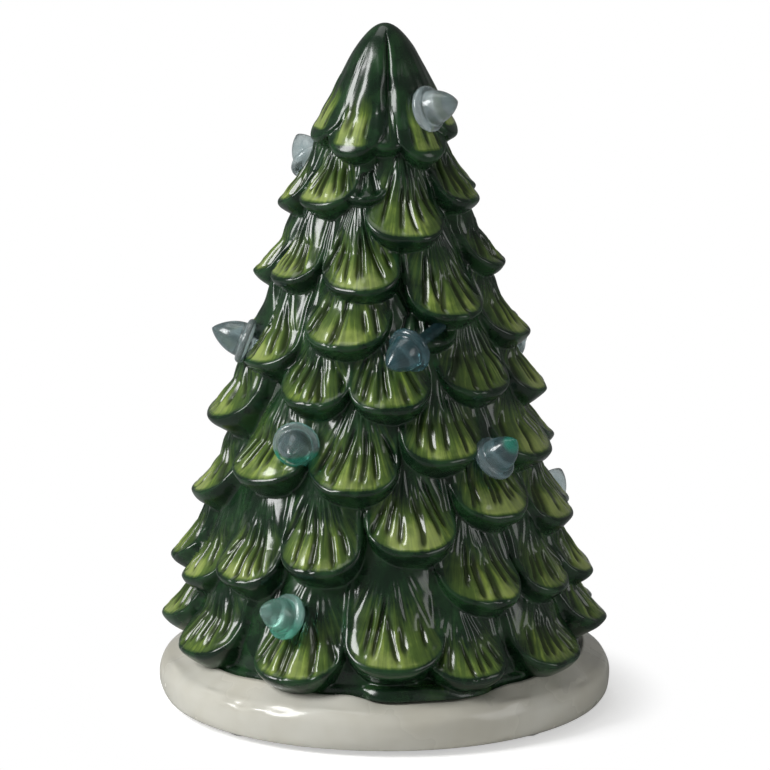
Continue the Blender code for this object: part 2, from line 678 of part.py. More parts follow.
def add_housing():
    """Add the battery housing: a flanged tub with a battery box, a door recess and screw bosses."""
    tub = [
        (HOUSING_INNER_RADIUS, HOUSING_TOP),
        (HOUSING_RADIUS, HOUSING_TOP),
        (HOUSING_RADIUS, FLOOR_TOP),
        (FLANGE_RADIUS, FLOOR_TOP),
        (FLANGE_RADIUS, FLOOR_BOTTOM),
        (0.0, FLOOR_BOTTOM),
        (0.0, FLOOR_TOP),
        (HOUSING_INNER_RADIUS, FLOOR_TOP),
        (HOUSING_INNER_RADIUS, HOUSING_TOP),
    ]
    housing = add_turned("battery_housing", tub, WHITE_PLASTIC, MANY_STEPS)
    join(housing, box_mesh("battery_box", (-BOX_LENGTH / 2, -BOX_WIDTH / 2, FLOOR_BOTTOM),
                           (BOX_LENGTH / 2, BOX_WIDTH / 2, BOX_TOP)))
    for number, place in enumerate(boss_places(), start=1):
        join(housing, cylinder_mesh(f"cover_boss_{number}", SCREW_BOSS_RADIUS, FLOOR_BOTTOM, HOUSING_TOP,
                                    place, FEW_STEPS))
    join(housing, cylinder_mesh("door_boss", SCREW_BOSS_RADIUS, FLOOR_BOTTOM,
                                DOOR_HOLE_TOP + HOUSING_WALL, (DOOR_SCREW_X, 0.0), FEW_STEPS))
    cut(housing, box_mesh("well", (-WELL_LENGTH / 2, -WELL_WIDTH / 2, FLOOR_BOTTOM - SEAT_WIDTH),
                          (WELL_LENGTH / 2, WELL_WIDTH / 2, WELL_TOP)))
    recess_top = DOOR_TOP + SEAT_GAP
    cut(housing, box_mesh("recess", (-DOOR_HALF_LENGTH - SLIDE_GAP, -DOOR_HALF_WIDTH - SLIDE_GAP,
                                     FLOOR_BOTTOM - SEAT_WIDTH),
                          (DOOR_HALF_LENGTH + SLIDE_GAP, DOOR_HALF_WIDTH + SLIDE_GAP, recess_top)))
    cut(housing, cylinder_mesh("lug_recess", DOOR_LUG_RADIUS + SWING_GAP, FLOOR_BOTTOM - SEAT_WIDTH,
                               recess_top, (DOOR_SCREW_X, 0.0), SOME_STEPS))
    notch_half = DOOR_PIN_RADIUS + SLIDE_GAP
    notch_reach = DOOR_HALF_WIDTH + DOOR_PIN_LENGTH + 2 * SLIDE_GAP
    cut(housing, box_mesh("hinge_notch", (HINGE_X - notch_half, -notch_reach, FLOOR_BOTTOM - SEAT_WIDTH),
                          (HINGE_X + notch_half, notch_reach, DOOR_MIDDLE + notch_half)))
    cut(housing, cylinder_mesh("door_screw_hole", SCREW_SHANK_RADIUS + SWING_GAP,
                               FLOOR_BOTTOM - SEAT_WIDTH, DOOR_HOLE_TOP, (DOOR_SCREW_X, 0.0), FEW_STEPS))
    slot_half = SWITCH_TRAVEL + KNOB_LENGTH / 2 + SLIDE_GAP
    cut(housing, box_mesh("switch_slot", (-slot_half, -SWITCH_OFFSET - KNOB_WIDTH / 2 - SLIDE_GAP,
                                          FLOOR_BOTTOM - SEAT_WIDTH),
                          (slot_half, -SWITCH_OFFSET + KNOB_WIDTH / 2 + SLIDE_GAP,
                           FLOOR_TOP + SEAT_GAP)))
    for number, place in enumerate(boss_places(), start=1):
        cut(housing, cylinder_mesh(f"cover_screw_hole_{number}", SCREW_SHANK_RADIUS + SEAT_GAP,
                                   COVER_TOP - SCREW_LENGTH - HOUSING_WALL, COVER_TOP, place,
                                   FEW_STEPS))


def add_seal():
    """Add the silicone ring between the housing's flange and the base's ledge."""
    inner = BORE_RADIUS + SLIDE_GAP
    outer = FLANGE_RADIUS - SLIDE_GAP
    top = SEAL_BOTTOM + SEAL_THICKNESS
    points = [(inner, top), (outer, top), (outer, SEAL_BOTTOM), (inner, SEAL_BOTTOM)]
    add_turned("housing_seal", points, CLEAR_SILICONE, MANY_STEPS, closed=True)


def add_cover():
    """Add the plate that closes the housing and carries the light."""
    points = [(0.0, COVER_TOP), (HOUSING_RADIUS, COVER_TOP), (HOUSING_RADIUS, COVER_BOTTOM),
              (0.0, COVER_BOTTOM)]
    cover = add_turned("housing_cover", points, WHITE_PLASTIC, MANY_STEPS)
    for number, place in enumerate(boss_places(), start=1):
        cut(cover, cylinder_mesh(f"cover_hole_{number}", SCREW_SHANK_RADIUS + SEAT_GAP,
                                 COVER_BOTTOM - SEAT_WIDTH, COVER_TOP + SEAT_WIDTH, place, FEW_STEPS))
    for side in (-1, 1):
        cut(cover, cylinder_mesh(f"wire_hole_{side + 2}", WIRE_RADIUS + SLIDE_GAP,
                                 COVER_BOTTOM - SEAT_WIDTH, COVER_TOP + SEAT_WIDTH,
                                 (side * WIRE_HOLE_OFFSET, 0.0), FEW_STEPS))


def screw_profile():
    """Return a pan-head screw with its head's underside at height 0 and its shank upwards."""
    return [
        (0.0, SCREW_LENGTH),
        (0.5 * SCREW_SHANK_RADIUS, SCREW_LENGTH),
        (SCREW_SHANK_RADIUS, SCREW_LENGTH - SCREW_SHANK_RADIUS),
        (SCREW_SHANK_RADIUS, 0.0),
        (SCREW_HEAD_RADIUS, 0.0),
        (SCREW_HEAD_RADIUS, -0.55 * SCREW_HEAD_HEIGHT),
        (0.7 * SCREW_HEAD_RADIUS, -SCREW_HEAD_HEIGHT),
        (0.0, -SCREW_HEAD_HEIGHT),
    ]


def add_cover_screws():
    """Add the screws that hold the cover, heads up."""
    form = profile_mesh("cover_screw", screw_profile(), False)
    turned_over = Matrix.Rotation(math.pi, 4, "X")
    for number, place in enumerate(boss_places(), start=1):
        screw = add_turned(f"cover_screw_{number}", None, SPRING_STEEL, FEW_STEPS, mesh=form)
        screw.matrix_world = Matrix.Translation((*place, COVER_TOP + SEAT_GAP)) @ turned_over


def add_door():
    """Add the battery door, which swings down on two pins at one end."""
    hinge = Vector((HINGE_X, 0.0, DOOR_MIDDLE))
    half_depth = DOOR_THICKNESS / 2
    plate = box_mesh("battery_door", (0.0, -DOOR_HALF_WIDTH, -half_depth),
                     (DOOR_HALF_LENGTH - HINGE_X, DOOR_HALF_WIDTH, half_depth))
    door = add_object("battery_door", plate, WHITE_PLASTIC)
    door.location = hinge
    lie_across = Matrix.Rotation(math.pi / 2, 4, "X")

    def join_here(mesh, matrix):
        mesh.transform(matrix)
        mesh.transform(Matrix.Translation(hinge))
        join(door, mesh)

    join_here(cylinder_mesh("door_edge", half_depth, -DOOR_HALF_WIDTH, DOOR_HALF_WIDTH,
                            steps=FEW_STEPS), lie_across)
    pin_reach = DOOR_HALF_WIDTH + DOOR_PIN_LENGTH
    join_here(cylinder_mesh("door_pins", DOOR_PIN_RADIUS, -pin_reach, pin_reach, steps=FEW_STEPS),
              lie_across)
    join(door, cylinder_mesh("door_lug", DOOR_LUG_RADIUS, FLOOR_BOTTOM, DOOR_TOP, (DOOR_SCREW_X, 0.0),
                             SOME_STEPS))
    cut(door, cylinder_mesh("door_hole", SCREW_SHANK_RADIUS + SLIDE_GAP, FLOOR_BOTTOM - SEAT_WIDTH,
                            DOOR_TOP + SEAT_WIDTH, (DOOR_SCREW_X, 0.0), FEW_STEPS))
    cut(door, cylinder_mesh("door_head_recess", SCREW_HEAD_RADIUS + SLIDE_GAP,
                            FLOOR_BOTTOM - SEAT_WIDTH, SCREW_HEAD_TOP + SLIDE_GAP,
                            (DOOR_SCREW_X, 0.0), FEW_STEPS))
    for number in range(GRIP_RIB_COUNT):
        middle = DOOR_HALF_LENGTH - DOOR_LUG_RADIUS - GRIP_RIB_PITCH * (number + 1)
        cut(door, box_mesh(f"grip_groove_{number + 1}",
                           (middle - GRIP_RIB_WIDTH / 2, -GRIP_RIB_LENGTH / 2, FLOOR_BOTTOM - SEAT_WIDTH),
                           (middle + GRIP_RIB_WIDTH / 2, GRIP_RIB_LENGTH / 2,
                            FLOOR_BOTTOM + GRIP_RIB_DEPTH)))


def add_door_screw():
    """Add the slotted screw that stays in the door's lug."""
    screw = add_turned("door_screw", screw_profile(), SPRING_STEEL, FEW_STEPS)
    screw.location = (DOOR_SCREW_X, 0.0, SCREW_HEAD_TOP)
    reach = SCREW_HEAD_RADIUS + SEAT_WIDTH
    slot = box_mesh("screw_slot", (DOOR_SCREW_X - reach, -SCREW_SLOT_WIDTH / 2, -SEAT_WIDTH),
                    (DOOR_SCREW_X + reach, SCREW_SLOT_WIDTH / 2, FLOOR_BOTTOM + SCREW_SLOT_DEPTH))
    cut(screw, slot)


def cell_rows():
    """Return each cell's place across the well, and +1 where its nub points to +X or -1."""
    rows = []
    for number in range(CELL_COUNT):
        across = (number - (CELL_COUNT - 1) / 2) * CELL_PITCH
        rows.append((across, 1 if number % 2 == 0 else -1))
    return rows


def add_cells_and_contacts():
    """Add the battery cells, and a spring and a plate for each at its ends."""
    body = CELL_LENGTH - CELL_NUB_HEIGHT
    profile = [
        (0.0, CELL_LENGTH),
        (CELL_NUB_RADIUS, CELL_LENGTH),
        (CELL_NUB_RADIUS, body),
        (CELL_RADIUS - CELL_EDGE, body),
        (CELL_RADIUS, body - CELL_EDGE),
        (CELL_RADIUS, CELL_EDGE),
        (CELL_RADIUS - CELL_EDGE, 0.0),
        (0.0, 0.0),
    ]
    cell_form = profile_mesh("aaa_cell", profile, False)
    half_well = WELL_LENGTH / 2
    for number, (across, way) in enumerate(cell_rows(), start=1):
        flat_end = -half_well + SEAT_GAP + SPRING_LENGTH + SEAT_GAP
        cell = add_turned(f"aaa_cell_{number}", None, CELL_SLEEVE, FEW_STEPS, mesh=cell_form)
        turn = Matrix.Rotation(way * math.pi / 2, 4, "Y")
        cell.matrix_world = Matrix.Translation((way * flat_end, across, CELL_AXIS)) @ turn
        points = []
        count = round(SPRING_TURNS * SPRING_POINTS_PER_TURN)
        for k in range(count + 1):
            share = k / count
            angle = math.tau * SPRING_TURNS * share
            radius = SPRING_BASE_RADIUS + (SPRING_TIP_RADIUS - SPRING_BASE_RADIUS) * share
            along = (-half_well + SEAT_GAP + SPRING_WIRE_RADIUS
                     + (SPRING_LENGTH - 2 * SPRING_WIRE_RADIUS) * share)
            points.append((way * along, across + radius * math.cos(angle),
                           CELL_AXIS + radius * math.sin(angle)))
        add_tube(f"contact_spring_{number}", points, SPRING_WIRE_RADIUS, SPRING_STEEL, 1)
        near = half_well - SEAT_GAP - CONTACT_THICKNESS
        far = half_well - SEAT_GAP
        low_x = min(way * near, way * far)
        high_x = max(way * near, way * far)
        plate = box_mesh(f"contact_plate_{number}",
                         (low_x, across - CONTACT_WIDTH / 2, CELL_AXIS - CONTACT_WIDTH / 2),
                         (high_x, across + CONTACT_WIDTH / 2, CELL_AXIS + CONTACT_WIDTH / 2))
        add_object(f"contact_plate_{number}", plate, SPRING_STEEL)


def spring_gap():
    """Return the least gap between one turn of a spring and the next."""
    rise = (SPRING_LENGTH - 2 * SPRING_WIRE_RADIUS) / SPRING_TURNS
    draw_in = (SPRING_BASE_RADIUS - SPRING_TIP_RADIUS) / SPRING_TURNS
    return math.hypot(rise, draw_in) - 2 * SPRING_WIRE_RADIUS


def add_switch():
    """Add the three-place slide switch: its body inside and its knob through the housing's floor."""
    plate_bottom = FLOOR_TOP + SEAT_GAP
    plate_top = plate_bottom + KNOB_PLATE_THICKNESS
    knob = add_object("switch_knob", box_mesh(
        "switch_knob", (-KNOB_LENGTH / 2, -SWITCH_OFFSET - KNOB_WIDTH / 2, FLOOR_BOTTOM - KNOB_STANDS_PROUD),
        (KNOB_LENGTH / 2, -SWITCH_OFFSET + KNOB_WIDTH / 2, plate_top)), BLACK_PLASTIC)
    join(knob, box_mesh("knob_plate",
                        (-KNOB_PLATE_LENGTH / 2, -SWITCH_OFFSET - KNOB_PLATE_WIDTH / 2, plate_bottom),
                        (KNOB_PLATE_LENGTH / 2, -SWITCH_OFFSET + KNOB_PLATE_WIDTH / 2, plate_top)))
    half_width = KNOB_PLATE_WIDTH / 2 + SLIDE_GAP + SWITCH_SIDE
    body = add_object("switch_body", box_mesh(
        "switch_body", (-SWITCH_LENGTH / 2, -SWITCH_OFFSET - half_width, plate_bottom),
        (SWITCH_LENGTH / 2, -SWITCH_OFFSET + half_width, plate_bottom + SWITCH_HEIGHT)), SPRING_STEEL)
    channel = KNOB_PLATE_WIDTH / 2 + SLIDE_GAP
    cut(body, box_mesh("switch_channel",
                       (-SWITCH_LENGTH, -SWITCH_OFFSET - channel, plate_bottom - SEAT_WIDTH),
                       (SWITCH_LENGTH, -SWITCH_OFFSET + channel, plate_top + SLIDE_GAP)))


def add_light():
    """Add the board, its LEDs and the frosted dome over them."""
    add_object("led_board", box_mesh("led_board", (-BOARD_LENGTH / 2, -BOARD_WIDTH / 2, BOARD_BOTTOM),
                                     (BOARD_LENGTH / 2, BOARD_WIDTH / 2, BOARD_TOP)), BOARD_LAMINATE)
    dome_start = LED_HEIGHT - LED_RADIUS
    profile = arc_points((0.0, dome_start), (LED_RADIUS, LED_RADIUS), 90, 0, 4)
    profile += [(LED_RADIUS, LED_RIM_HEIGHT), (LED_RIM_RADIUS, LED_RIM_HEIGHT), (LED_RIM_RADIUS, 0.0),
                (0.0, 0.0)]
    profile[0] = (0.0, LED_HEIGHT)
    form = profile_mesh("led", profile, False)
    for number in range(LED_COUNT):
        led = add_turned(f"led_{number + 1}", None, LED_RESIN, FEW_STEPS, mesh=form)
        led.location = ((number - (LED_COUNT - 1) / 2) * LED_SPACING, 0.0, BOARD_TOP + SEAT_GAP)
    outer = arc_points((0.0, BOARD_BOTTOM), (DOME_RADIUS, DOME_HEIGHT), 90, 0, 6)
    inner = arc_points((0.0, BOARD_BOTTOM), (DOME_RADIUS - DOME_WALL, DOME_HEIGHT - DOME_WALL), 0, 90, 6)
    outer[0] = (0.0, BOARD_BOTTOM + DOME_HEIGHT)
    inner[-1] = (0.0, BOARD_BOTTOM + DOME_HEIGHT - DOME_WALL)
    add_turned("light_dome", outer + inner, LED_RESIN, SOME_STEPS)


def smooth_route(stops, count):
    """Return points on a smooth curve through a list of stops."""
    stops = [stops[0]] + list(stops) + [stops[-1]]
    stops = np.array(stops)
    spans = len(stops) - 3
    points = []
    for k in range(count + 1):
        place = spans * k / count
        span = min(int(place), spans - 1)
        t = place - span
        a, b, c, d = stops[span:span + 4]
        points.append(tuple(0.5 * (2 * b + (c - a) * t + (2 * a - 5 * b + 4 * c - d) * t**2
                                   + (3 * b - a - 3 * c + d) * t**3)))
    return points


def add_wires():
    """Add the wires from the switch and from the battery box up to the board."""
    over = BOX_TOP + WIRE_SPACE / 2
    end = COVER_TOP
    switch_top = FLOOR_TOP + SEAT_GAP + SWITCH_HEIGHT + SEAT_GAP
    box_side = BOX_LENGTH / 2 + SEAT_GAP
    black = [
        (-WIRE_HOLE_OFFSET, -SWITCH_OFFSET, switch_top),
        (-WIRE_HOLE_OFFSET, -SWITCH_OFFSET, over - WIRE_SPACE),
        (-WIRE_HOLE_OFFSET, -SWITCH_OFFSET + WIRE_SPACE, over),
        (-WIRE_HOLE_OFFSET, -BOX_WIDTH / 4, over),
        (-WIRE_HOLE_OFFSET, -WIRE_SPACE / 2, over),
        (-WIRE_HOLE_OFFSET, 0.0, COVER_BOTTOM),
        (-WIRE_HOLE_OFFSET, 0.0, end),
    ]
    red = [
        (box_side, CELL_PITCH, CELL_AXIS),
        (box_side + WIRE_SPACE / 2, CELL_PITCH, CELL_AXIS + WIRE_SPACE / 2),
        (box_side + WIRE_SPACE / 2, CELL_PITCH, BOX_TOP - WIRE_SPACE),
        (box_side + WIRE_SPACE / 3, CELL_PITCH, BOX_TOP + WIRE_SPACE / 4),
        (box_side - WIRE_SPACE, CELL_PITCH * 0.9, over),
        (BOX_LENGTH / 4, CELL_PITCH / 2, over),
        (WIRE_HOLE_OFFSET + WIRE_SPACE / 2, 0.0, over),
        (WIRE_HOLE_OFFSET, 0.0, COVER_BOTTOM),
        (WIRE_HOLE_OFFSET, 0.0, end),
    ]
    add_tube("wire_black", smooth_route(black, 13), WIRE_RADIUS, BLACK_WIRE, 2)
    add_tube("wire_red", smooth_route(red, 15), WIRE_RADIUS, RED_WIRE, 2)


add_bulbs()
add_tree()
add_snow_base()
add_foot_pads()
add_housing()
add_seal()
add_cover()
add_cover_screws()
add_door()
add_door_screw()
add_cells_and_contacts()
add_switch()
add_light()
add_wires()
print(f"least gap between a spring's turns: {spring_gap() / MM:.2f} mm")
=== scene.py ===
"""The look of a glazed ceramic Christmas tree lantern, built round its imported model.

Sizes are metres and +Z is up. A bearing is in degrees round the tree: 0 faces -Y, the front, and 90 faces +X.
"""

import logging
import math
from dataclasses import dataclass, replace
from enum import Enum
from typing import Dict, List, Optional, Sequence, Tuple, Union

import bpy
import numpy as np
from mathutils import Matrix, Vector


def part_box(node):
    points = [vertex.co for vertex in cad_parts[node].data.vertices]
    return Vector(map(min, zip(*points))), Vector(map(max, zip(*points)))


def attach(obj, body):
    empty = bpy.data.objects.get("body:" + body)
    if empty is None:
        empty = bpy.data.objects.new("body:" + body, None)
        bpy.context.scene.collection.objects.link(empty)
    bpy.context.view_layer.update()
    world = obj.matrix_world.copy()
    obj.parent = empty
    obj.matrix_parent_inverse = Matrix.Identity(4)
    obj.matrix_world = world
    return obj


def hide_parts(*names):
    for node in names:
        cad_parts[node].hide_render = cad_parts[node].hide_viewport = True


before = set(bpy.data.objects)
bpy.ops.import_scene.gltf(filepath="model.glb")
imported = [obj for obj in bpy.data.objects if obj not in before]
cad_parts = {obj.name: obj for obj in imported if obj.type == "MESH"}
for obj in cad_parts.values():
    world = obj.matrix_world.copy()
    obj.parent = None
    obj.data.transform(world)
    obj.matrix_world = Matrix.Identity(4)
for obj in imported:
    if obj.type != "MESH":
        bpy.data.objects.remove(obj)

logging.basicConfig(level=logging.INFO, format="%(message)s")
LOG = logging.getLogger("tree_lantern")

MM = 0.001
BODY = "lantern"
WHITE = (1.0, 1.0, 1.0, 1.0)
Colour = Tuple[float, float, float]
Point = Tuple[float, float, float]
Range = Union[float, Tuple[float, float]]
Number = Union[float, np.ndarray]

# The tree's top and the snow base's corners, as model.glb has them
TREE_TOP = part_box("tree_casting")[1].z
BASE_LOW, BASE_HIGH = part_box("snow_base")

# Bearing of the glazed lip under the front lobes, where no snow is banked up
LIP_BEARING = 13.0

# Outline of the lobe tips: share of the tree's height, then radius as a multiple of the foot's
TIP_LINE = (
    (0.000, 1.176),
    (0.112, 1.143),
    (0.225, 1.039),
    (0.337, 0.945),
    (0.449, 0.843),
    (0.562, 0.729),
    (0.646, 0.624),
    (0.742, 0.514),
    (0.843, 0.420),
    (1.000, 0.235),
)

# Tiers of lobes from the crown down: how many lobes fill the back, then each front lobe's bearing, the height
# of its rim as a share of the tree's, and in mm half its width, its length and what it adds to the outline
TIERS = (
    (3, ((-72, 0.843, 9.2, 27, 0.0), (-29, 0.827, 9.2, 30, 0.0), (2, 0.832, 7.0, 27, -2.6),
         (35, 0.820, 8.0, 30, 0.0), (75, 0.848, 9.0, 27, 0.0))),
    (3, ((-92, 0.736, 11.0, 20, 1.9), (-51, 0.746, 12.5, 21, 0.0), (-17, 0.758, 9.0, 18, -3.0),
         (17, 0.706, 15.0, 24, 0.0), (67, 0.746, 12.0, 21, 0.0))),
    (4, ((-92, 0.632, 10.5, 20, 1.8), (-62, 0.637, 12.0, 21, 0.0), (-13, 0.634, 14.6, 24, 0.0),
         (36, 0.596, 14.5, 24, 0.0), (77, 0.652, 11.0, 14, 1.0))),
    (5, ((-64, 0.517, 13.5, 23, 0.0), (-20, 0.558, 13.0, 21, 0.0), (22, 0.560, 10.0, 18, -3.0),
         (78, 0.550, 12.5, 21, 0.6))),
    (4, ((-79, 0.430, 15.5, 22, 3.4), (-30, 0.476, 11.0, 19, 0.0), (1, 0.475, 12.5, 20, 0.0),
         (44, 0.488, 14.5, 22, 0.0), (81, 0.466, 12.0, 20, 0.8))),
    (4, ((-87, 0.310, 13.0, 22, 1.6), (-50, 0.360, 13.4, 25, 0.0), (-11, 0.361, 14.0, 24, 0.0),
         (21.5, 0.401, 12.5, 21, 0.0), (67, 0.384, 14.0, 23, 0.0))),
    (5, ((-93, 0.207, 12.5, 22, 3.0), (-77, 0.192, 12.0, 22, 0.0), (-49, 0.217, 11.5, 23, 0.0),
         (-22, 0.248, 13.5, 24, 0.0), (9.5, 0.279, 13.5, 24, 0.0), (41.5, 0.315, 13.5, 22, 0.0),
         (75, 0.282, 13.5, 22, 0.0))),
    (5, ((-90, 0.120, 12.0, 20, 1.8), (-63, 0.100, 12.5, 22, 0.0), (-26.5, 0.097, 12.0, 25, 0.0),
         (2.5, 0.119, 13.5, 28, 0.0), (34, 0.201, 13.0, 23, 0.0), (59, 0.198, 13.0, 21, 0.0),
         (81, 0.196, 13.0, 21, 1.0))),
    (0, ((24.5, 0.100, 10.5, 18, 0.0), (55, 0.096, 14.0, 20, 0.0), (80, 0.126, 13.0, 19, 1.0),
         (109, 0.124, 13.0, 19, 0.0), (139, 0.118, 13.0, 19, 0.0))),
)

# The way each bulb points
BULB_AXES = (
    (0.77, -0.572, 0.288), (-0.43, 0.633, 0.650), (0.60, 0.620, 0.500), (-0.93, 0.077, 0.352),
    (-0.58, -0.753, -0.306), (0.55, 0.820, 0.150), (-0.150, -0.985, -0.060), (0.58, -0.519, 0.625),
    (0.42, 0.660, 0.620), (-0.67, -0.631, 0.393), (0.05, 0.900, 0.430), (-0.15, 0.900, 0.400),
    (-0.55, 0.780, 0.300), (0.15, 0.930, 0.330), (-0.30, 0.900, 0.320), (0.35, 0.880, 0.320),
    (-0.65, 0.690, 0.320), (-0.70, 0.580, 0.400),
)


class Signal:
    """One output of a node in a material, for use in Python expressions."""

    def __init__(self, recipe: "Recipe", socket: bpy.types.NodeSocket) -> None:
        """Keep the recipe and the output socket."""
        self.recipe = recipe
        self.socket = socket

    def _math(self, operation: str, first: "Value", second: "Value") -> "Signal":
        """Add a Math node of two values and return its output."""
        return self.recipe.node("ShaderNodeMath", {"operation": operation}, {0: first, 1: second})

    def __add__(self, other: "Value") -> "Signal":
        """Add a value."""
        return self._math("ADD", self, other)

    __radd__ = __add__

    def __sub__(self, other: "Value") -> "Signal":
        """Take a value away."""
        return self._math("SUBTRACT", self, other)

    def __rsub__(self, other: "Value") -> "Signal":
        """Take this from a value."""
        return self._math("SUBTRACT", other, self)

    def __mul__(self, other: "Value") -> "Signal":
        """Multiply by a value."""
        return self._math("MULTIPLY", self, other)

    __rmul__ = __mul__

    def above(self, other: "Value") -> "Signal":
        """Return the higher of this and a value."""
        return self._math("MAXIMUM", self, other)

    def step(self, low: float, high: float) -> "Signal":
        """Return a smooth step.

        Args:
            low: Where the step starts, at 0.
            high: Where the step ends, at 1.

        Returns:
            A value from 0 to 1.
        """
        values = {"Value": self, "From Min": low, "From Max": high}
        return self.recipe.node("ShaderNodeMapRange", {"interpolation_type": "SMOOTHSTEP"}, values)


Value = Union[Signal, float]
Input = Union[Signal, float, Sequence[float]]


class Recipe:
    """The node tree of a material or a world, to which a finish adds its nodes."""

    def __init__(self, name: str, is_world: bool = False) -> None:
        """Start an empty node tree.

        Args:
            name: The material's or the world's name.
            is_world: Whether the tree is a world's.
        """
        self.made = (bpy.data.worlds if is_world else bpy.data.materials).new(name)
        self.made.use_nodes = True
        self.tree = self.made.node_tree
        self.tree.nodes.clear()
        self.output = self.tree.nodes.new("ShaderNodeOutputWorld" if is_world else "ShaderNodeOutputMaterial")

    def node(self, kind: str, settings: Optional[Dict[str, object]] = None,
             values: Optional[Dict[Union[int, str], Input]] = None, output: Union[int, str] = 0) -> Signal:
        """Add a node.

        Args:
            kind: The node's type.
            settings: Its properties, which are set before its sockets.
            values: Numbers, colours or signals for its inputs, by name or number.
            output: The output to return.

        Returns:
            One output of the node.
        """
        made = self.tree.nodes.new(kind)
        for key, setting in (settings or {}).items():
            setattr(made, key, setting)
        for key, value in (values or {}).items():
            if isinstance(value, Signal):
                self.tree.links.new(value.socket, made.inputs[key])
            else:
                made.inputs[key].default_value = value
        return Signal(self, made.outputs[output])

    def place(self) -> Signal:
        """Return the point on the object, in metres."""
        return self.node("ShaderNodeTexCoord", output="Object")

    def attribute(self, name: str, output: str = "Fac") -> Signal:
        """Return a value stored on the mesh."""
        return self.node("ShaderNodeAttribute", {"attribute_name": name}, output=output)

    def noise(self, place: Signal, scale: float, detail: float = 3.0, roughness: float = 0.55) -> Signal:
        """Return a noise from 0 to 1.

        Args:
            place: Where it is read.
            scale: Its scale, in waves to a metre.
            detail: How many finer layers it has.
            roughness: How strong the finer layers are.

        Returns:
            The noise's value.
        """
        values = {"Vector": place, "Scale": scale, "Detail": detail, "Roughness": roughness}
        return self.node("ShaderNodeTexNoise", values=values)

    def stretch(self, place: Signal, factors: Point) -> Signal:
        """Return a point multiplied by three factors."""
        return self.node("ShaderNodeVectorMath", {"operation": "MULTIPLY"}, {0: place, 1: factors})

    def blend(self, amount: Value, first: Input, second: Input) -> Signal:
        """Return a mix of two colours.

        Args:
            amount: 0 for the first colour and 1 for the second.
            first: A colour or signal.
            second: A colour or signal.

        Returns:
            The mixed colour.
        """
        first = first if isinstance(first, Signal) else (*first, 1.0)
        second = second if isinstance(second, Signal) else (*second, 1.0)
        return self.node("ShaderNodeMix", {"data_type": "RGBA"}, {0: amount, 6: first, 7: second}, 2)

    def bump(self, height: Signal, distance: float) -> Signal:
        """Return a normal that a height has bent."""
        return self.node("ShaderNodeBump", values={"Height": height, "Distance": distance, "Strength": 1.0})

    def close(self, shader: Signal) -> Union[bpy.types.Material, bpy.types.World]:
        """Join a shader to the output and return the material or world."""
        self.tree.links.new(shader.socket, self.output.inputs["Surface"])
        return self.made

    def finish(self, base: Signal, roughness: Signal, normal: Signal, **others: Value) -> bpy.types.Material:
        """Close the recipe with a Principled shader.

        Args:
            base: The base colour.
            roughness: The roughness.
            normal: The bent normal.
            others: Other sockets, with spaces written as underscores.

        Returns:
            The material.
        """
        values: Dict[Union[int, str], Input] = {"Base Color": base, "Roughness": roughness, "Normal": normal}
        values.update({key.replace("_", " "): other for key, other in others.items()})
        return self.close(self.node("ShaderNodeBsdfPrincipled", values=values))


@dataclass(frozen=True)
class GreenGlaze:
    """Clear gloss glaze over green underglaze, brushed yellow-green on the tips and dark in the grooves, with
    painted shade and a painted highlight.
    """

    deep: Colour = (0.0050, 0.0200, 0.0080)
    body: Colour = (0.0150, 0.0520, 0.0170)
    leaf: Colour = (0.0850, 0.1450, 0.0270)
    tip: Colour = (0.2700, 0.3700, 0.0600)
    rim: Colour = (0.3600, 0.4200, 0.1500)
    olive: Colour = (0.0200, 0.0360, 0.0065)

    def material(self) -> bpy.types.Material:
        """Mix the glaze's material.

        Returns:
            A material that reads the tree mesh's tip, groove, valley and fan attributes.
        """
        r = Recipe("green_glaze_brushed")
        place = r.place()
        tip = r.attribute("tip")
        groove = r.attribute("groove")
        valley = r.attribute("valley")
        fan = r.attribute("fan", "Vector")
        cloud = r.noise(place, 160.0, 4.0)
        streak = r.noise(r.stretch(fan, (9.0, 1.3, 1.0)), 1.6, 4.0, 0.6)
        speck = r.noise(place, 700.0, 2.0)
        # Yellow-green paint brushed over the tips in streaks, thicker towards the rim
        brushed = (tip * 1.15 + (streak - 0.5) * 1.3 + (cloud - 0.5) * 0.7).step(0.16, 1.00)
        strong = (tip + (streak - 0.5) * 1.5 + (cloud - 0.5) * 0.9).step(0.70, 1.30)
        colour = r.blend(cloud.step(0.35, 0.72), self.deep, self.body)
        colour = r.blend(brushed * 0.92, colour, self.leaf)
        colour = r.blend(strong, colour, self.tip)
        # A pale rim where the brushing is thickest near the edge: partly the glaze's own pale tint, partly a
        # painted highlight
        colour = r.blend((tip + (cloud - 0.5) * 0.5).step(0.80, 1.05) * 0.5, colour, self.rim)
        # Dark glaze pooled in the cuts
        pooled = (groove * (0.78 + streak * 0.5)).step(0.12, 0.72)
        pooled_colour = r.blend(tip.step(0.25, 0.80), self.deep, self.olive)
        colour = r.blend(pooled * 0.90, colour, pooled_colour)
        # Darker in the valleys between the lobes and under their rims: partly glaze pooled there, partly
        # painted shade
        pool_and_shade = r.blend(cloud.step(0.40, 0.62), self.deep, self.body)
        colour = r.blend((valley + (speck - 0.5) * 0.25).step(0.25, 0.85) * 0.95, colour, pool_and_shade)
        wave = r.noise(place, 300.0, 1.0) + r.noise(place, 120.0, 1.0) * 1.6
        return r.finish(colour, 0.17 + cloud * 0.12, r.bump(wave, 0.10 * MM),
                        Coat_Weight=0.32 - valley * 0.12, Coat_Roughness=0.07, Specular_IOR_Level=0.40)


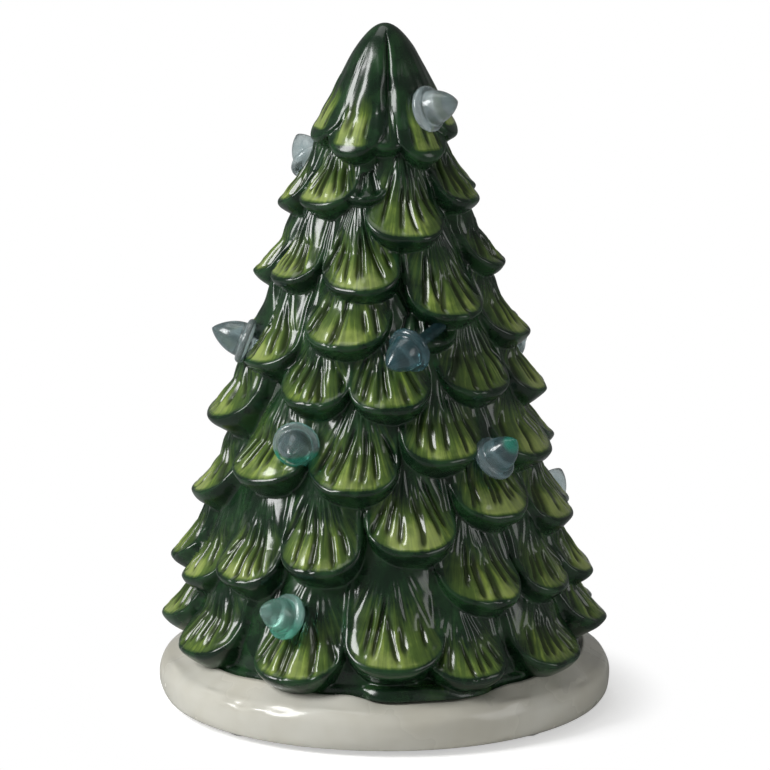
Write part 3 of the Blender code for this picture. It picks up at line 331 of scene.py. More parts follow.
@dataclass(frozen=True)
class SnowGlaze:
    """Glossy off-white glaze, beige in soft patches and with fine darker specks."""

    thick: Colour = (0.650, 0.640, 0.570)
    thin: Colour = (0.570, 0.550, 0.465)
    shade: Colour = (0.500, 0.465, 0.385)

    def material(self) -> bpy.types.Material:
        """Mix the glaze's material.

        Returns:
            The material.
        """
        r = Recipe("snow_glaze_gloss")
        place = r.place()
        cloud = r.noise(place, 45.0, 3.0)
        speck = r.noise(place, 1500.0, 2.0)
        colour = r.blend(cloud.step(0.3, 0.7), self.thick, self.thin)
        colour = r.blend(speck.step(0.70, 0.80) * 0.25, colour, self.shade)
        wave = r.noise(place, 70.0, 2.0)
        return r.finish(colour, 0.21 + cloud * 0.12, r.bump(wave, 0.5 * MM), Coat_Weight=0.22,
                        Coat_Roughness=0.05)


@dataclass(frozen=True)
class BulbPlastic:
    """Translucent blue-grey plastic, clearer and more frosted in soft patches."""

    clear: Colour = (0.530, 0.595, 0.595)
    frosted: Colour = (0.320, 0.410, 0.420)
    painted_shade: Colour = (0.055, 0.150, 0.175)
    painted_green_light: Colour = (0.045, 0.500, 0.330)

    def material(self) -> bpy.types.Material:
        """Mix the plastic's material.

        Returns:
            A material that reads the bulb mesh's attributes for painted green light and painted shade.
        """
        r = Recipe("bulb_plastic_moulded")
        place = r.place()
        cloud = r.noise(place, 260.0, 3.0)
        fine = r.noise(place, 1800.0, 2.0)
        colour = r.blend(cloud.step(0.3, 0.7), self.clear, self.frosted)
        # Painted shade: darker blue-grey on some bulbs
        colour = r.blend(r.attribute("painted_shade") * (0.7 + cloud * 0.5), colour, self.painted_shade)
        # Painted green light from behind, on some bulbs
        colour = r.blend((r.attribute("painted_green_light") * (0.75 + cloud * 0.5)).step(0.10, 0.85), colour, self.painted_green_light)
        return r.finish(colour, 0.16 + cloud * 0.16, r.bump(fine, 0.04 * MM), Transmission_Weight=0.72,
                        IOR=1.46, Coat_Weight=0.4, Coat_Roughness=0.04)


@dataclass(frozen=True)
class MouldedPlastic:
    """Opaque moulded plastic with a fine spark-eroded grain."""

    name: str
    colour: Colour
    worn: Colour
    roughness: float = 0.42
    grain: float = 0.06 * MM

    def material(self) -> bpy.types.Material:
        """Mix the plastic's material.

        Returns:
            The material.
        """
        r = Recipe(self.name)
        place = r.place()
        grain = r.noise(place, 5200.0, 2.0)
        cloud = r.noise(place, 90.0, 3.0)
        colour = r.blend(cloud.step(0.3, 0.75) * 0.6, self.colour, self.worn)
        return r.finish(colour, self.roughness + grain * 0.12, r.bump(grain, self.grain))


@dataclass(frozen=True)
class DrawnSteel:
    """Nickel-plated spring steel with fine drawing lines."""

    name: str = "plated_steel"
    bright: Colour = (0.640, 0.630, 0.600)
    dull: Colour = (0.430, 0.420, 0.400)

    def material(self) -> bpy.types.Material:
        """Mix the steel's material.

        Returns:
            The material.
        """
        r = Recipe(self.name)
        place = r.place()
        line = r.noise(r.stretch(place, (1.0, 1.0, 14.0)), 900.0, 3.0)
        cloud = r.noise(place, 300.0, 3.0)
        colour = r.blend(cloud.step(0.35, 0.75), self.bright, self.dull)
        return r.finish(colour, 0.20 + line * 0.18, r.bump(line, 0.03 * MM), Metallic=1.0)


@dataclass(frozen=True)
class SoftSilicone:
    """Cloudy silicone rubber with dust on it."""

    body: Colour = (0.560, 0.570, 0.560)
    dusty: Colour = (0.420, 0.410, 0.390)

    def material(self) -> bpy.types.Material:
        """Mix the rubber's material.

        Returns:
            The material.
        """
        r = Recipe("cloudy_silicone")
        place = r.place()
        dust = r.noise(place, 1400.0, 4.0)
        colour = r.blend(dust.step(0.48, 0.70), self.body, self.dusty)
        return r.finish(colour, 0.45 + dust * 0.2, r.bump(dust, 0.05 * MM),
                        Transmission_Weight=0.25, IOR=1.41)


@dataclass(frozen=True)
class CellSleeve:
    """Printed film sleeve of a battery cell: dark body and a copper-coloured band at the nub's end."""

    dark: Colour = (0.018, 0.018, 0.022)
    band: Colour = (0.420, 0.220, 0.090)
    bare: Colour = (0.620, 0.610, 0.590)
    band_from: float = 10.5 * MM
    bare_from: float = 21.5 * MM
    edge: float = 0.2 * MM

    def material(self) -> bpy.types.Material:
        """Mix the sleeve's material.

        Returns:
            The material.
        """
        r = Recipe("cell_sleeve_film")
        place = r.place()
        along = r.node("ShaderNodeSeparateXYZ", values={0: place}, output="X")
        scratch = r.noise(r.stretch(place, (1.0, 9.0, 9.0)), 700.0, 3.0)
        colour = r.blend(along.step(self.band_from, self.band_from + self.edge), self.dark, self.band)
        colour = r.blend(along.step(self.bare_from, self.bare_from + self.edge), colour, self.bare)
        return r.finish(colour, 0.22 + scratch * 0.16, r.bump(scratch, 0.02 * MM), Coat_Weight=0.3)


@dataclass(frozen=True)
class BoardLaminate:
    """White-masked circuit laminate with a faint glass weave."""

    mask: Colour = (0.700, 0.710, 0.690)
    weave: Colour = (0.560, 0.580, 0.540)

    def material(self) -> bpy.types.Material:
        """Mix the laminate's material.

        Returns:
            The material.
        """
        r = Recipe("board_white_mask")
        place = r.place()
        weave = r.noise(r.stretch(place, (1.0, 6.0, 1.0)), 800.0, 2.0)
        colour = r.blend(weave.step(0.4, 0.7) * 0.6, self.mask, self.weave)
        return r.finish(colour, 0.35 + weave * 0.1, r.bump(weave, 0.02 * MM))


@dataclass(frozen=True)
class LampResin:
    """Frosted resin that lets the light through."""

    body: Colour = (0.760, 0.790, 0.770)
    milky: Colour = (0.620, 0.660, 0.640)

    def material(self) -> bpy.types.Material:
        """Mix the resin's material.

        Returns:
            The material.
        """
        r = Recipe("frosted_resin")
        place = r.place()
        milk = r.noise(place, 350.0, 3.0)
        colour = r.blend(milk.step(0.3, 0.7), self.body, self.milky)
        return r.finish(colour, 0.28 + milk * 0.15, r.bump(milk, 0.03 * MM),
                        Transmission_Weight=0.45, IOR=1.49)


@dataclass(frozen=True)
class WireSheath:
    """Extruded wire sheath with faint draw marks."""

    name: str
    colour: Colour
    dull: Colour

    def material(self) -> bpy.types.Material:
        """Mix the sheath's material.

        Returns:
            The material.
        """
        r = Recipe(self.name)
        place = r.place()
        marks = r.noise(place, 2600.0, 3.0)
        colour = r.blend(marks.step(0.4, 0.75) * 0.7, self.colour, self.dull)
        return r.finish(colour, 0.36 + marks * 0.2, r.bump(marks, 0.02 * MM))


def smooth_min(a: np.ndarray, b: np.ndarray, blend: Number) -> np.ndarray:
    """Work out the lower of two values, rounded where they meet.

    Args:
        a: First values.
        b: Second values.
        blend: How far the rounding reaches.

    Returns:
        The rounded minimum.
    """
    mix = np.clip(0.5 + 0.5 * (b - a) / blend, 0.0, 1.0)
    return b * (1.0 - mix) + a * mix - blend * mix * (1.0 - mix)


def smooth_max(a: np.ndarray, b: np.ndarray, blend: Number) -> np.ndarray:
    """Return the higher of two values, rounded where they meet."""
    return -smooth_min(-a, -b, blend)


def smooth_step(value: np.ndarray, low: float, high: float) -> np.ndarray:
    """Return 0 below a value, 1 above another and a smooth rise between them."""
    share = np.clip((value - low) / (high - low), 0.0, 1.0)
    return share * share * (3.0 - 2.0 * share)


def rounded(share: np.ndarray, power: float) -> np.ndarray:
    """Return the fall of a rounded edge, from 0 in the middle to 1 at the side, where the share is 1."""
    return 1.0 - (1.0 - share**power) ** (1.0 / power)


def turn_from(angle: np.ndarray, bearing: float) -> np.ndarray:
    """Return how far angles are from a bearing in degrees, from -pi to pi."""
    return (angle - math.radians(bearing) + math.pi) % math.tau - math.pi


def ring(radius: Number, angle: np.ndarray, height: Number) -> np.ndarray:
    """Return points round the lantern's axis."""
    return np.stack([radius * np.sin(angle), -radius * np.cos(angle), height + 0.0 * angle], axis=-1)


def grid_mesh(name: str, points: np.ndarray, close_ends: bool) -> bpy.types.Mesh:
    """Build a mesh from rings of points.

    Args:
        name: The mesh's name.
        points: Rings of points, as an array of rows, columns and 3.
        close_ends: Whether the last ring joins the first one.

    Returns:
        The mesh, with quads between the rings. A ring of length zero closes to a fan.
    """
    rows, columns = points.shape[:2]
    index = np.arange(rows * columns).reshape(rows, columns)
    below = np.roll(index, -1, axis=0) if close_ends else index[1:]
    above = index if close_ends else index[:-1]
    right_above = np.roll(above, -1, axis=1)
    right_below = np.roll(below, -1, axis=1)
    quads = np.stack([above, below, right_below, right_above], axis=-1).reshape(-1, 4)
    mesh = bpy.data.meshes.new(name)
    mesh.vertices.add(rows * columns)
    mesh.vertices.foreach_set("co", points.reshape(-1).astype(np.float32))
    mesh.loops.add(quads.size)
    mesh.loops.foreach_set("vertex_index", quads.reshape(-1).astype(np.int32))
    mesh.polygons.add(len(quads))
    mesh.polygons.foreach_set("loop_start", np.arange(0, quads.size, 4, dtype=np.int32))
    mesh.update(calc_edges=True)
    mesh.validate()
    mesh.shade_smooth()
    return mesh


def store_values(mesh: bpy.types.Mesh, name: str, values: np.ndarray) -> None:
    """Store one value for each point of a mesh, for its material to read."""
    layer = mesh.attributes.new(name, "FLOAT", "POINT")
    layer.data.foreach_set("value", values.reshape(-1).astype(np.float32))


def add_object(name: str, data: bpy.types.ID) -> bpy.types.Object:
    """Put an object in the scene.

    Args:
        name: The object's name.
        data: Its mesh, light or camera.

    Returns:
        The object.
    """
    item = bpy.data.objects.new(name, data)
    bpy.context.scene.collection.objects.link(item)
    return item


def add_piece(mesh: bpy.types.Mesh, material: bpy.types.Material, node: str) -> None:
    """Put a piece in the scene in place of a CAD node. It moves with the lantern's body.

    Args:
        mesh: The piece's mesh, which gives it its name.
        material: Its material.
        node: The CAD node that it stands for.
    """
    item = add_object(mesh.name, mesh)
    mesh.materials.append(material)
    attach(item, BODY)
    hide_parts(node)
    LOG.info("built %s", item.name)


@dataclass(frozen=True)
class Lobe:
    """One lobe of the tree: where its rim is, its half widths, its length and what it adds to the outline."""

    bearing: float
    share: float
    left: float
    right: float
    length: float
    reach: float


@dataclass(frozen=True)
class LobeStyle:
    """What differs between the crown's petals and the lobes below them: slope, overlap and brushing."""

    rim_slope: float
    overlap: float
    brush_start: float
    brush_full: float
    brush_fade: float
    fade_end: float


@dataclass(frozen=True)
class LobeForm:
    """A lobe's radius on a patch of the grid, and where each point is on the lobe.

    A point is so far across from the ridge, above the rim, beside the ridge as a share of half the width, and
    in from the rim.
    """

    radius: np.ndarray
    across: np.ndarray
    above: np.ndarray
    beside: np.ndarray
    inset: np.ndarray


@dataclass(frozen=True)
class Groove:
    """One knife cut in a lobe, along a line from its apex. Start and end are shares of the way to the rim."""

    turn: float
    width: float
    depth: float
    start: float
    end: float
    sway: float
    phase: float
    bends: float = 5.0
    fade_in: float = 0.22
    fade_out: Tuple[float, float] = (0.05, 0.06)

    def mark(self, fan: np.ndarray, way: np.ndarray, apex: float) -> np.ndarray:
        """Work out how deep in the cut each point is.

        Args:
            fan: The angle of each point from the lobe's ridge, seen from its apex.
            way: How far each point is from the apex, as a share of the way to the rim.
            apex: How high the apex is above the rim.

        Returns:
            Values from 0 beside the cut to 1 on its line.
        """
        line = self.turn + self.sway * np.sin(self.bends * way + self.phase)
        away = (fan - line) * way * apex
        before, after = self.fade_out
        shape = np.exp(-(away / self.width) ** 2) * smooth_step(way, self.start, self.start + self.fade_in)
        return shape * (1.0 - smooth_step(way, self.end - before, self.end + after))


@dataclass(frozen=True)
class CutRule:
    """How cuts of one kind are drawn: a fixed value or two limits for each size. Widths and depths are mm."""

    width: Range
    depth: Range
    start: Range
    end: Range
    sway: Range
    phase: Range = (0.0, 6.0)

    def draw(self, chance: np.random.Generator, turn: float) -> Groove:
        """Draw one cut.

        Args:
            chance: The lobe's random numbers.
            turn: The cut's angle in the lobe's fan, in radians.

        Returns:
            The cut.
        """
        limits = (self.width, self.depth, self.start, self.end, self.sway, self.phase)
        sizes = [chance.uniform(*limit) if isinstance(limit, tuple) else limit for limit in limits]
        return Groove(turn, sizes[0] * MM, sizes[1] * MM, *sizes[2:])


DEEP_CUT = CutRule(width=(0.65, 1.05), depth=(0.9, 1.5), start=(0.34, 0.62), end=(0.84, 0.96),
                   sway=(-0.07, 0.07))
FINE_CUT = CutRule(width=(0.42, 0.62), depth=(0.18, 0.40), start=(0.12, 0.34), end=(0.45, 0.80),
                   sway=(-0.04, 0.04))
SOFT_FOLD = CutRule(width=1.5, depth=(0.30, 0.55), start=(0.15, 0.35), end=(0.70, 0.90), sway=(-0.05, 0.05))
RIM_CUT = CutRule(width=(0.5, 0.8), depth=(0.5, 1.0), start=(0.62, 0.74), end=(0.86, 0.95), sway=0.0)


@dataclass
class TreeCasting:
    """The lobed tree: its surface rule, the knife cuts in its lobes and its brushed glaze."""

    height: float = TREE_TOP
    bottom: float = BASE_HIGH.z + 0.3 * MM
    foot_radius: float = 51.0 * MM
    foot_inner_radius: float = 44.0 * MM
    foot_band: float = 2.5 * MM
    reach_limit: float = 59.3 * MM
    wall: float = 3.6 * MM

    # The apex, and the body behind the lobes in the crown, which starts at a share of the height
    apex_round: float = 3.9 * MM
    apex_flare: float = 0.45
    apex_blend: float = 2.0 * MM
    crown_start: float = 0.79
    crown_core_radius: float = 17.0 * MM
    crown_core_slope: float = 0.50

    # A lobe's ridge, its tent-shaped back and its sides
    petal_style: LobeStyle = LobeStyle(rim_slope=0.77, overlap=3.6 * MM, brush_start=0.52, brush_full=0.84,
                                       brush_fade=0.95, fade_end=0.56)
    lobe_style: LobeStyle = LobeStyle(rim_slope=0.80, overlap=3.0 * MM, brush_start=0.30, brush_full=0.92,
                                      brush_fade=0.72, fade_end=0.84)
    lobe_depth: float = 9.0 * MM
    upper_slope: float = 0.41
    slope_knee: float = 9.5 * MM
    side_slope: float = 2.8
    edge_drop: float = 1.2 * MM
    edge_power: float = 4.6
    tent_fall: float = 2.6 * MM
    ridge_round: float = 0.11
    straight_share: float = 0.84
    taper_share: float = 0.85
    taper_power: float = 0.65
    narrowest: float = 0.12
    lean_limit: float = 0.17
    width_limits: Tuple[float, float] = (0.80, 1.20)
    hidden_reach: float = -2.0 * MM

    # Its rim, the underside below it and the welt round its face with a hollow inside
    under_slope: float = 1.65
    rim_overlap: float = 0.6 * MM
    rim_rise: float = 1.15
    rim_power: float = 2.4
    rim_blend: float = 4.8 * MM
    welt_height: float = 0.36 * MM
    welt_inset: float = 0.9 * MM
    welt_width: float = 1.0 * MM
    welt_side: float = 0.83
    welt_blend: float = 1.0 * MM
    hollow_depth: float = 0.55
    hollow_inset: float = 2.9
    face_inset: float = 2.4

    # How the lobes melt into each other, more so in the crown, and how far each one's patch of the grid goes
    blend_gain: float = 0.3 * MM
    valley_blend: float = 0.6 * MM
    crown_blend: float = 2.8 * MM
    crown_blend_shares: Tuple[float, float] = (0.81, 0.87)
    hang: float = 16.0 * MM
    patch_share: float = 1.7

    # The fan of cuts: where its apex is and how wide it is, and for each kind of cut the fewest, one more
    # than the most, how far they spread and how far apart they stay
    fan_apex: float = 1.22
    fan_width: float = 0.95
    fan_length: float = 1.6
    fan_nearest: float = 0.5 * MM
    cut_kinds: Tuple[Tuple[CutRule, int, int, float, float], ...] = (
        (DEEP_CUT, 5, 8, 0.78, 0.10),
        (FINE_CUT, 8, 12, 0.95, 0.15),
    )
    fold_turns: Tuple[float, ...] = (-0.8, -0.1, 0.7)
    rim_cut_turns: Tuple[float, ...] = (-0.42, 0.02, 0.36)
    rim_cut_stray: float = 0.08
    dark_depth: float = 0.9 * MM
    edge_cut: float = 0.45
    face_cut: float = 0.55
    edge_dark: float = 0.3
    face_dark: float = 0.7
    uncut_radius: float = 4.0 * MM
    full_cut_radius: float = 9.0 * MM

    # The brushed paint, which differs from lobe to lobe
    paint_limits: Tuple[float, float] = (0.80, 1.10)
    hidden_paint: float = 0.2
    fade_start: float = 0.28
    streak_offset: float = 3.7

    # The glazed lip under the front lobes, and its glaze
    lip_half_turn: float = 20.0
    lip_height: float = 6.0 * MM
    lip_reach: float = 5.2 * MM
    lip_sink: float = 2.0 * MM
    lip_fall: float = 3.0
    lip_ripple: float = 0.25 * MM
    lip_waves: Tuple[float, float] = (19.0, 900.0)
    # The lip takes part of the valleys' darker colour, partly painted shade, and a little of the tips' paint
    lip_valley: float = 0.35
    lip_tip: float = 0.22

    # The lobes of the back, and the unevenness of hand work
    back_length: float = 21.0 * MM
    back_stagger: float = 0.008
    wobble_height: float = 0.085 * MM
    wobble_lengths: Tuple[float, float] = (6.0, 14.0)
    wobble_waves: int = 10

    # Seeds of the random numbers, and the grid, whose rows crowd towards the apex
    wobble_seed: int = 7
    lobe_seed: int = 200
    fold_seed: int = 500
    cut_seed: int = 1000
    columns: int = 900
    rows: int = 480
    row_power: float = 1.2
    inner_rows: int = 8
    inner_top: float = 0.93
    inner_round: int = 6

    def tip_radius(self, height: np.ndarray) -> np.ndarray:
        """Return the radius of the tips' outline at a height."""
        shares, radii = zip(*TIP_LINE)
        return np.interp(height / self.height, shares, radii) * self.foot_radius

    def core_radius(self, height: np.ndarray) -> np.ndarray:
        """Work out the radius of the body behind the lobes.

        Args:
            height: Heights.

        Returns:
            The radius at each height.
        """
        start = self.crown_start * self.height
        crown = self.crown_core_radius - self.crown_core_slope * (height - start)
        return np.where(height > start, crown, self.tip_radius(height) - self.lobe_depth)

    def lobes(self) -> List[Lobe]:
        """List every lobe, those of the front as listed and those of the back spread evenly between them.

        Returns:
            The lobes, tier by tier.
        """
        lobes = []
        for back_count, front in TIERS:
            tier = [Lobe(bearing, share, half * MM, half * MM, length * MM, reach * MM)
                    for bearing, share, half, length, reach in front]
            first, last = front[0], front[-1]
            for k in range(1, back_count + 1):
                step = k / (back_count + 1)
                bearing = last[0] + (first[0] + 360.0 - last[0]) * step
                stagger = self.back_stagger if k % 2 else -self.back_stagger
                share = last[1] + (first[1] - last[1]) * step + stagger
                half = (first[2] + last[2]) / 2 * MM
                tier.append(Lobe(bearing, share, half, half, self.back_length, 0.0))
            lobes += tier if tier[0].share > self.crown_start else self.spread_to_neighbours(tier)
        return lobes

    def spread_to_neighbours(self, tier: List[Lobe]) -> List[Lobe]:
        """Make each lobe as wide on each side as the way to the middle of the gap there.

        Args:
            tier: The tier's lobes, in the order of their bearings.

        Returns:
            The lobes with their widths, after those that hang hidden behind others.
        """
        shown = [lobe for lobe in tier if lobe.reach > self.hidden_reach]
        wider = [lobe for lobe in tier if lobe.reach <= self.hidden_reach]
        for k, lobe in enumerate(shown):
            radius = float(self.tip_radius(lobe.share * self.height))
            before = (lobe.bearing - shown[k - 1].bearing) % 360.0
            after = (shown[(k + 1) % len(shown)].bearing - lobe.bearing) % 360.0
            low, high = (lobe.left * limit for limit in self.width_limits)
            left, right = (float(np.clip(0.5 * math.radians(gap) * radius, low, high))
                           for gap in (before, after))
            wider.append(replace(lobe, left=left, right=right))
        return wider

    def crown_folds(self, number: int, spread: float) -> List[Groove]:
        """Draw the soft folds of one petal of the crown, and a few cuts near its rim.

        Args:
            number: The petal's number, which seeds its folds.
            spread: Half the angle of the petal's fan, in radians.

        Returns:
            The folds and the cuts.
        """
        chance = np.random.default_rng(self.fold_seed + number)
        folds = [SOFT_FOLD.draw(chance, spread * turn) for turn in self.fold_turns]
        for turn in self.rim_cut_turns:
            stray = chance.uniform(-self.rim_cut_stray, self.rim_cut_stray)
            folds.append(RIM_CUT.draw(chance, spread * (turn + stray)))
        return folds

    def grooves(self, number: int, spread: float) -> List[Groove]:
        """Draw the knife cuts of one lobe.

        Args:
            number: The lobe's number, which seeds its cuts.
            spread: Half the angle of the lobe's fan, in radians.

        Returns:
            Deep and fine cuts across the fan.
        """
        chance = np.random.default_rng(self.cut_seed + number)
        cuts = []
        for rule, fewest, limit, reach, margin in self.cut_kinds:
            count = int(chance.integers(fewest, limit))
            for k in range(count):
                place = k + chance.uniform(margin, 1.0 - margin)
                cuts.append(rule.draw(chance, spread * (-reach + 2.0 * reach * place / count)))
        return cuts

    def form(self, angle: np.ndarray, height: np.ndarray, lobe: Lobe, lean: float) -> LobeForm:
        """Work out one lobe's form on a patch of the grid.

        Args:
            angle: Angles round the tree, in radians.
            height: Heights.
            lobe: The lobe.
            lean: How far the lobe leans to one side, as a slope.

        Returns:
            The lobe's radius, and where each point lies on the lobe.
        """
        in_crown = lobe.share > self.crown_start
        style = self.petal_style if in_crown else self.lobe_style
        tip_height = lobe.share * self.height
        reach = min(float(self.tip_radius(tip_height)) + lobe.reach + self.blend_gain, self.reach_limit)
        turn = turn_from(angle, lobe.bearing)
        above = height - tip_height
        lobe_half = np.where(turn < 0.0, lobe.left, lobe.right)
        half = lobe_half + style.overlap
        past_knee = np.clip(above - self.slope_knee, 0.0, None)
        ridge = reach - style.rim_slope * above + (style.rim_slope - self.upper_slope) * past_knee
        if in_crown:
            scale = np.clip(ridge / reach, self.narrowest, 1.0)
            across = turn * reach * scale
            width = half * scale
        else:
            scale = 1.0
            across = turn * reach + lean * above
            run = (above - self.straight_share * lobe.length) / (self.taper_share * lobe.length)
            width = half * np.clip(1.0 - np.clip(run, 0.0, 1.0), self.narrowest, 1.0) ** self.taper_power
        away = np.abs(across)
        beside = away / width
        inside = np.clip(beside, 0.0, 1.0)

        tent = np.sqrt(inside**2 + self.ridge_round**2) - self.ridge_round
        lift = np.clip(ridge - self.core_radius(height), 0.0, self.lobe_depth) + self.edge_drop * scale
        top = ridge - lift * rounded(inside, self.edge_power) - self.tent_fall * scale * width / half * tent
        end = (self.straight_share + self.taper_share) * lobe.length
        top = top - self.side_slope * (np.clip(away - width, 0.0, None) + np.clip(above - end, 0.0, None))

        rim_half = lobe_half + self.rim_overlap
        rise = self.rim_rise * rim_half * rounded(np.clip(away / rim_half, 0.0, 1.0), self.rim_power)
        drop = above - rise - self.side_slope * np.clip(away - rim_half, 0.0, None)
        under = reach + self.under_slope * drop

        from_rim = (under - top) / (self.under_slope + style.rim_slope)
        inset = smooth_min(from_rim, (self.welt_side - beside) * width, self.welt_blend)
        welt = np.exp(-((inset - self.welt_inset) / self.welt_width) ** 2)
        hollow = np.exp(-((inset - self.hollow_inset * self.welt_inset) / self.welt_width) ** 2)
        welt = welt - self.hollow_depth * hollow
        radius = smooth_min(top, under, self.rim_blend) + self.welt_height * welt
        return LobeForm(radius, across, above, beside, inset)

    def lobe_surface(self, angle: np.ndarray, height: np.ndarray, lobe: Lobe,
                     number: int) -> Dict[str, np.ndarray]:
        """Work out one lobe's surface and its glaze on a patch of the grid.

        Args:
            angle: Angles round the tree, in radians.
            height: Heights.
            lobe: The lobe.
            number: The lobe's number.

        Returns:
            The lobe's radius, the depth of its cuts, and its tip, groove, valley and fan values.
        """
        chance = np.random.default_rng(self.lobe_seed + number)
        form = self.form(angle, height, lobe, chance.uniform(-self.lean_limit, self.lean_limit))
        paint = chance.uniform(*self.paint_limits)
        in_crown = lobe.share > self.crown_start
        style = self.petal_style if in_crown else self.lobe_style

        apex = self.fan_apex * lobe.length
        fan = np.arctan2(form.across, np.clip(apex - form.above, self.fan_nearest, None))
        way = np.hypot(form.across, apex - form.above) / apex
        spread = math.atan(self.fan_width * (lobe.left + lobe.right) / (self.fan_length * lobe.length))
        face = smooth_step(form.inset, self.welt_inset, self.face_inset * self.welt_inset)
        cut = np.zeros_like(form.radius)
        dark = np.zeros_like(form.radius)
        for groove in self.crown_folds(number, spread) if in_crown else self.grooves(number, spread):
            shape = groove.mark(fan, way, apex)
            cut = np.maximum(cut, groove.depth * shape)
            dark = np.maximum(dark, shape * min(1.0, groove.depth / self.dark_depth))

        tip = smooth_step(way, style.brush_start, style.brush_full) * face
        tip = tip * (1.0 - style.brush_fade * smooth_step(form.beside, self.fade_start, style.fade_end))
        tip = tip * paint * (1.0 if lobe.reach > self.hidden_reach else self.hidden_paint)
        # The valley value, off the face under the rim and on the welt, darkens the glaze there: partly pooled
        # glaze, partly painted shade
        return {
            "radius": form.radius,
            "cut": cut * (self.edge_cut + self.face_cut * face),
            "tip": tip,
            "groove": dark * (self.edge_dark + self.face_dark * face),
            "valley": 1.0 - face,
            "fan_turn": fan / spread,
            "fan_reach": way,
        }

    def surface(self) -> Dict[str, np.ndarray]:
        """Work out the whole tree's surface on a grid.

        Returns:
            Angles, heights and radii, and the values that the glaze needs.
        """
        down = (np.arange(1, self.rows + 1) / self.rows) ** self.row_power
        heights = self.height - (self.height - self.bottom) * down
        angles = math.tau * np.arange(self.columns) / self.columns
        angle, height = np.meshgrid(angles, heights)
        radius = self.core_radius(height)
        best = radius.copy()
        keys = ("cut", "tip", "groove", "valley", "fan_turn", "fan_reach")
        grid = {key: np.zeros_like(radius) for key in (*keys, "number")}
        grid["valley"] += 1.0
        low, high = (share * self.height for share in self.crown_blend_shares)
        blend = self.valley_blend + (self.crown_blend - self.valley_blend) * smooth_step(height, low, high)
        for number, lobe in enumerate(self.lobes()):
            lowest = lobe.share * self.height - self.hang
            highest = lobe.share * self.height + self.patch_share * lobe.length
            rows = np.nonzero((heights > lowest) & (heights < highest))[0]
            window = slice(rows[0], rows[-1] + 1)
            patch = self.lobe_surface(angle[window], height[window], lobe, number)
            wins = patch["radius"] > best[window]
            best[window] = np.where(wins, patch["radius"], best[window])
            radius[window] = smooth_max(radius[window], patch["radius"], blend[window])
            for key in keys:
                grid[key][window] = np.where(wins, patch[key], grid[key][window])
            grid["number"][window] = np.where(wins, float(number), grid["number"][window])
        # Creases where lobes melt together count as valley too, darker partly from pooled glaze, partly as
        # painted shade
        filled = np.clip((radius - best) / (0.5 * blend), 0.0, 1.0)
        grid["valley"] = np.maximum(grid["valley"], filled)

        cut = grid["cut"] * smooth_step(radius, self.uncut_radius, self.full_cut_radius)
        radius = radius - cut + self.wobble(ring(radius, angle, height))
        near_foot = height < self.bottom + self.foot_band
        radius = np.where(near_foot, np.maximum(radius, self.foot_radius), radius)
        lip = self.lip(angle, height)
        grid["valley"] = np.where(lip > radius, self.lip_valley, grid["valley"])
        grid["tip"] = np.where(lip > radius, self.lip_tip, grid["tip"])
        radius = smooth_max(radius, lip, self.valley_blend)
        fall = np.clip(self.height - height, 0.0, None)
        cap = np.sqrt(2.0 * self.apex_round * fall + (self.apex_flare * fall) ** 2)
        radius = np.clip(smooth_min(radius, cap, self.apex_blend), 0.0, cap)
        grid.update({"angle": angle, "height": height, "radius": np.minimum(radius, self.reach_limit)})
        return grid

    def lip(self, angle: np.ndarray, height: np.ndarray) -> np.ndarray:
        """Work out the radius of the thick glazed lip under the front lobes.

        Args:
            angle: Angles round the tree, in radians.
            height: Heights.

        Returns:
            The lip's radius, less than the foot's away from it.
        """
        turn = turn_from(angle, LIP_BEARING)
        along = np.clip(np.abs(turn) / math.radians(self.lip_half_turn), 0.0, 1.0)
        rise = np.clip((height - self.bottom) / (self.lip_height * (1.0 - 0.5 * along**2)), 0.0, 1.0)
        ripple = self.lip_ripple * np.sin(self.lip_waves[0] * turn + self.lip_waves[1] * height)
        reach = (self.lip_reach + ripple) * np.sqrt(1.0 - along**4) * np.sqrt(1.0 - rise**2)
        return (self.foot_radius - self.lip_sink + reach
                - self.lip_fall * np.clip(height - self.bottom - 0.5 * self.lip_height, 0.0, None))

    def wobble(self, points: np.ndarray) -> np.ndarray:
        """Work out the small unevenness of a surface that was worked by hand.

        Args:
            points: Points of the surface.

        Returns:
            How far each point stands out.
        """
        chance = np.random.default_rng(self.wobble_seed)
        total = np.zeros(points.shape[:-1])
        for _ in range(self.wobble_waves):
            wave = chance.normal(size=3)
            wave *= math.tau / (chance.uniform(*self.wobble_lengths) * MM) / np.linalg.norm(wave)
            total += np.sin(wave[0] * points[..., 0] + wave[1] * points[..., 1] + wave[2] * points[..., 2]
                            + chance.uniform(0.0, math.tau))
        return total * self.wobble_height

    def build(self) -> None:
        """Build the tree and dress it."""
        grid = self.surface()
        angle = grid["angle"][:1]
        rings = [ring(0.0, angle, self.height), ring(grid["radius"], grid["angle"], grid["height"])]
        for level in range(self.inner_rows):
            share = level / (self.inner_rows - 1)
            z = self.bottom + (self.inner_top * self.height - self.bottom) * share
            inner = max(float(self.tip_radius(z)) - self.lobe_depth - self.wall, 0.0)
            rings.append(ring(min(inner * (1.0 - share**self.inner_round), self.foot_inner_radius), angle, z))
        points = np.concatenate(rings, axis=0)
        mesh = grid_mesh("tree_glazed", points, False)
        self.store(mesh, grid, points.shape[0])
        add_piece(mesh, GreenGlaze().material(), "tree_casting")

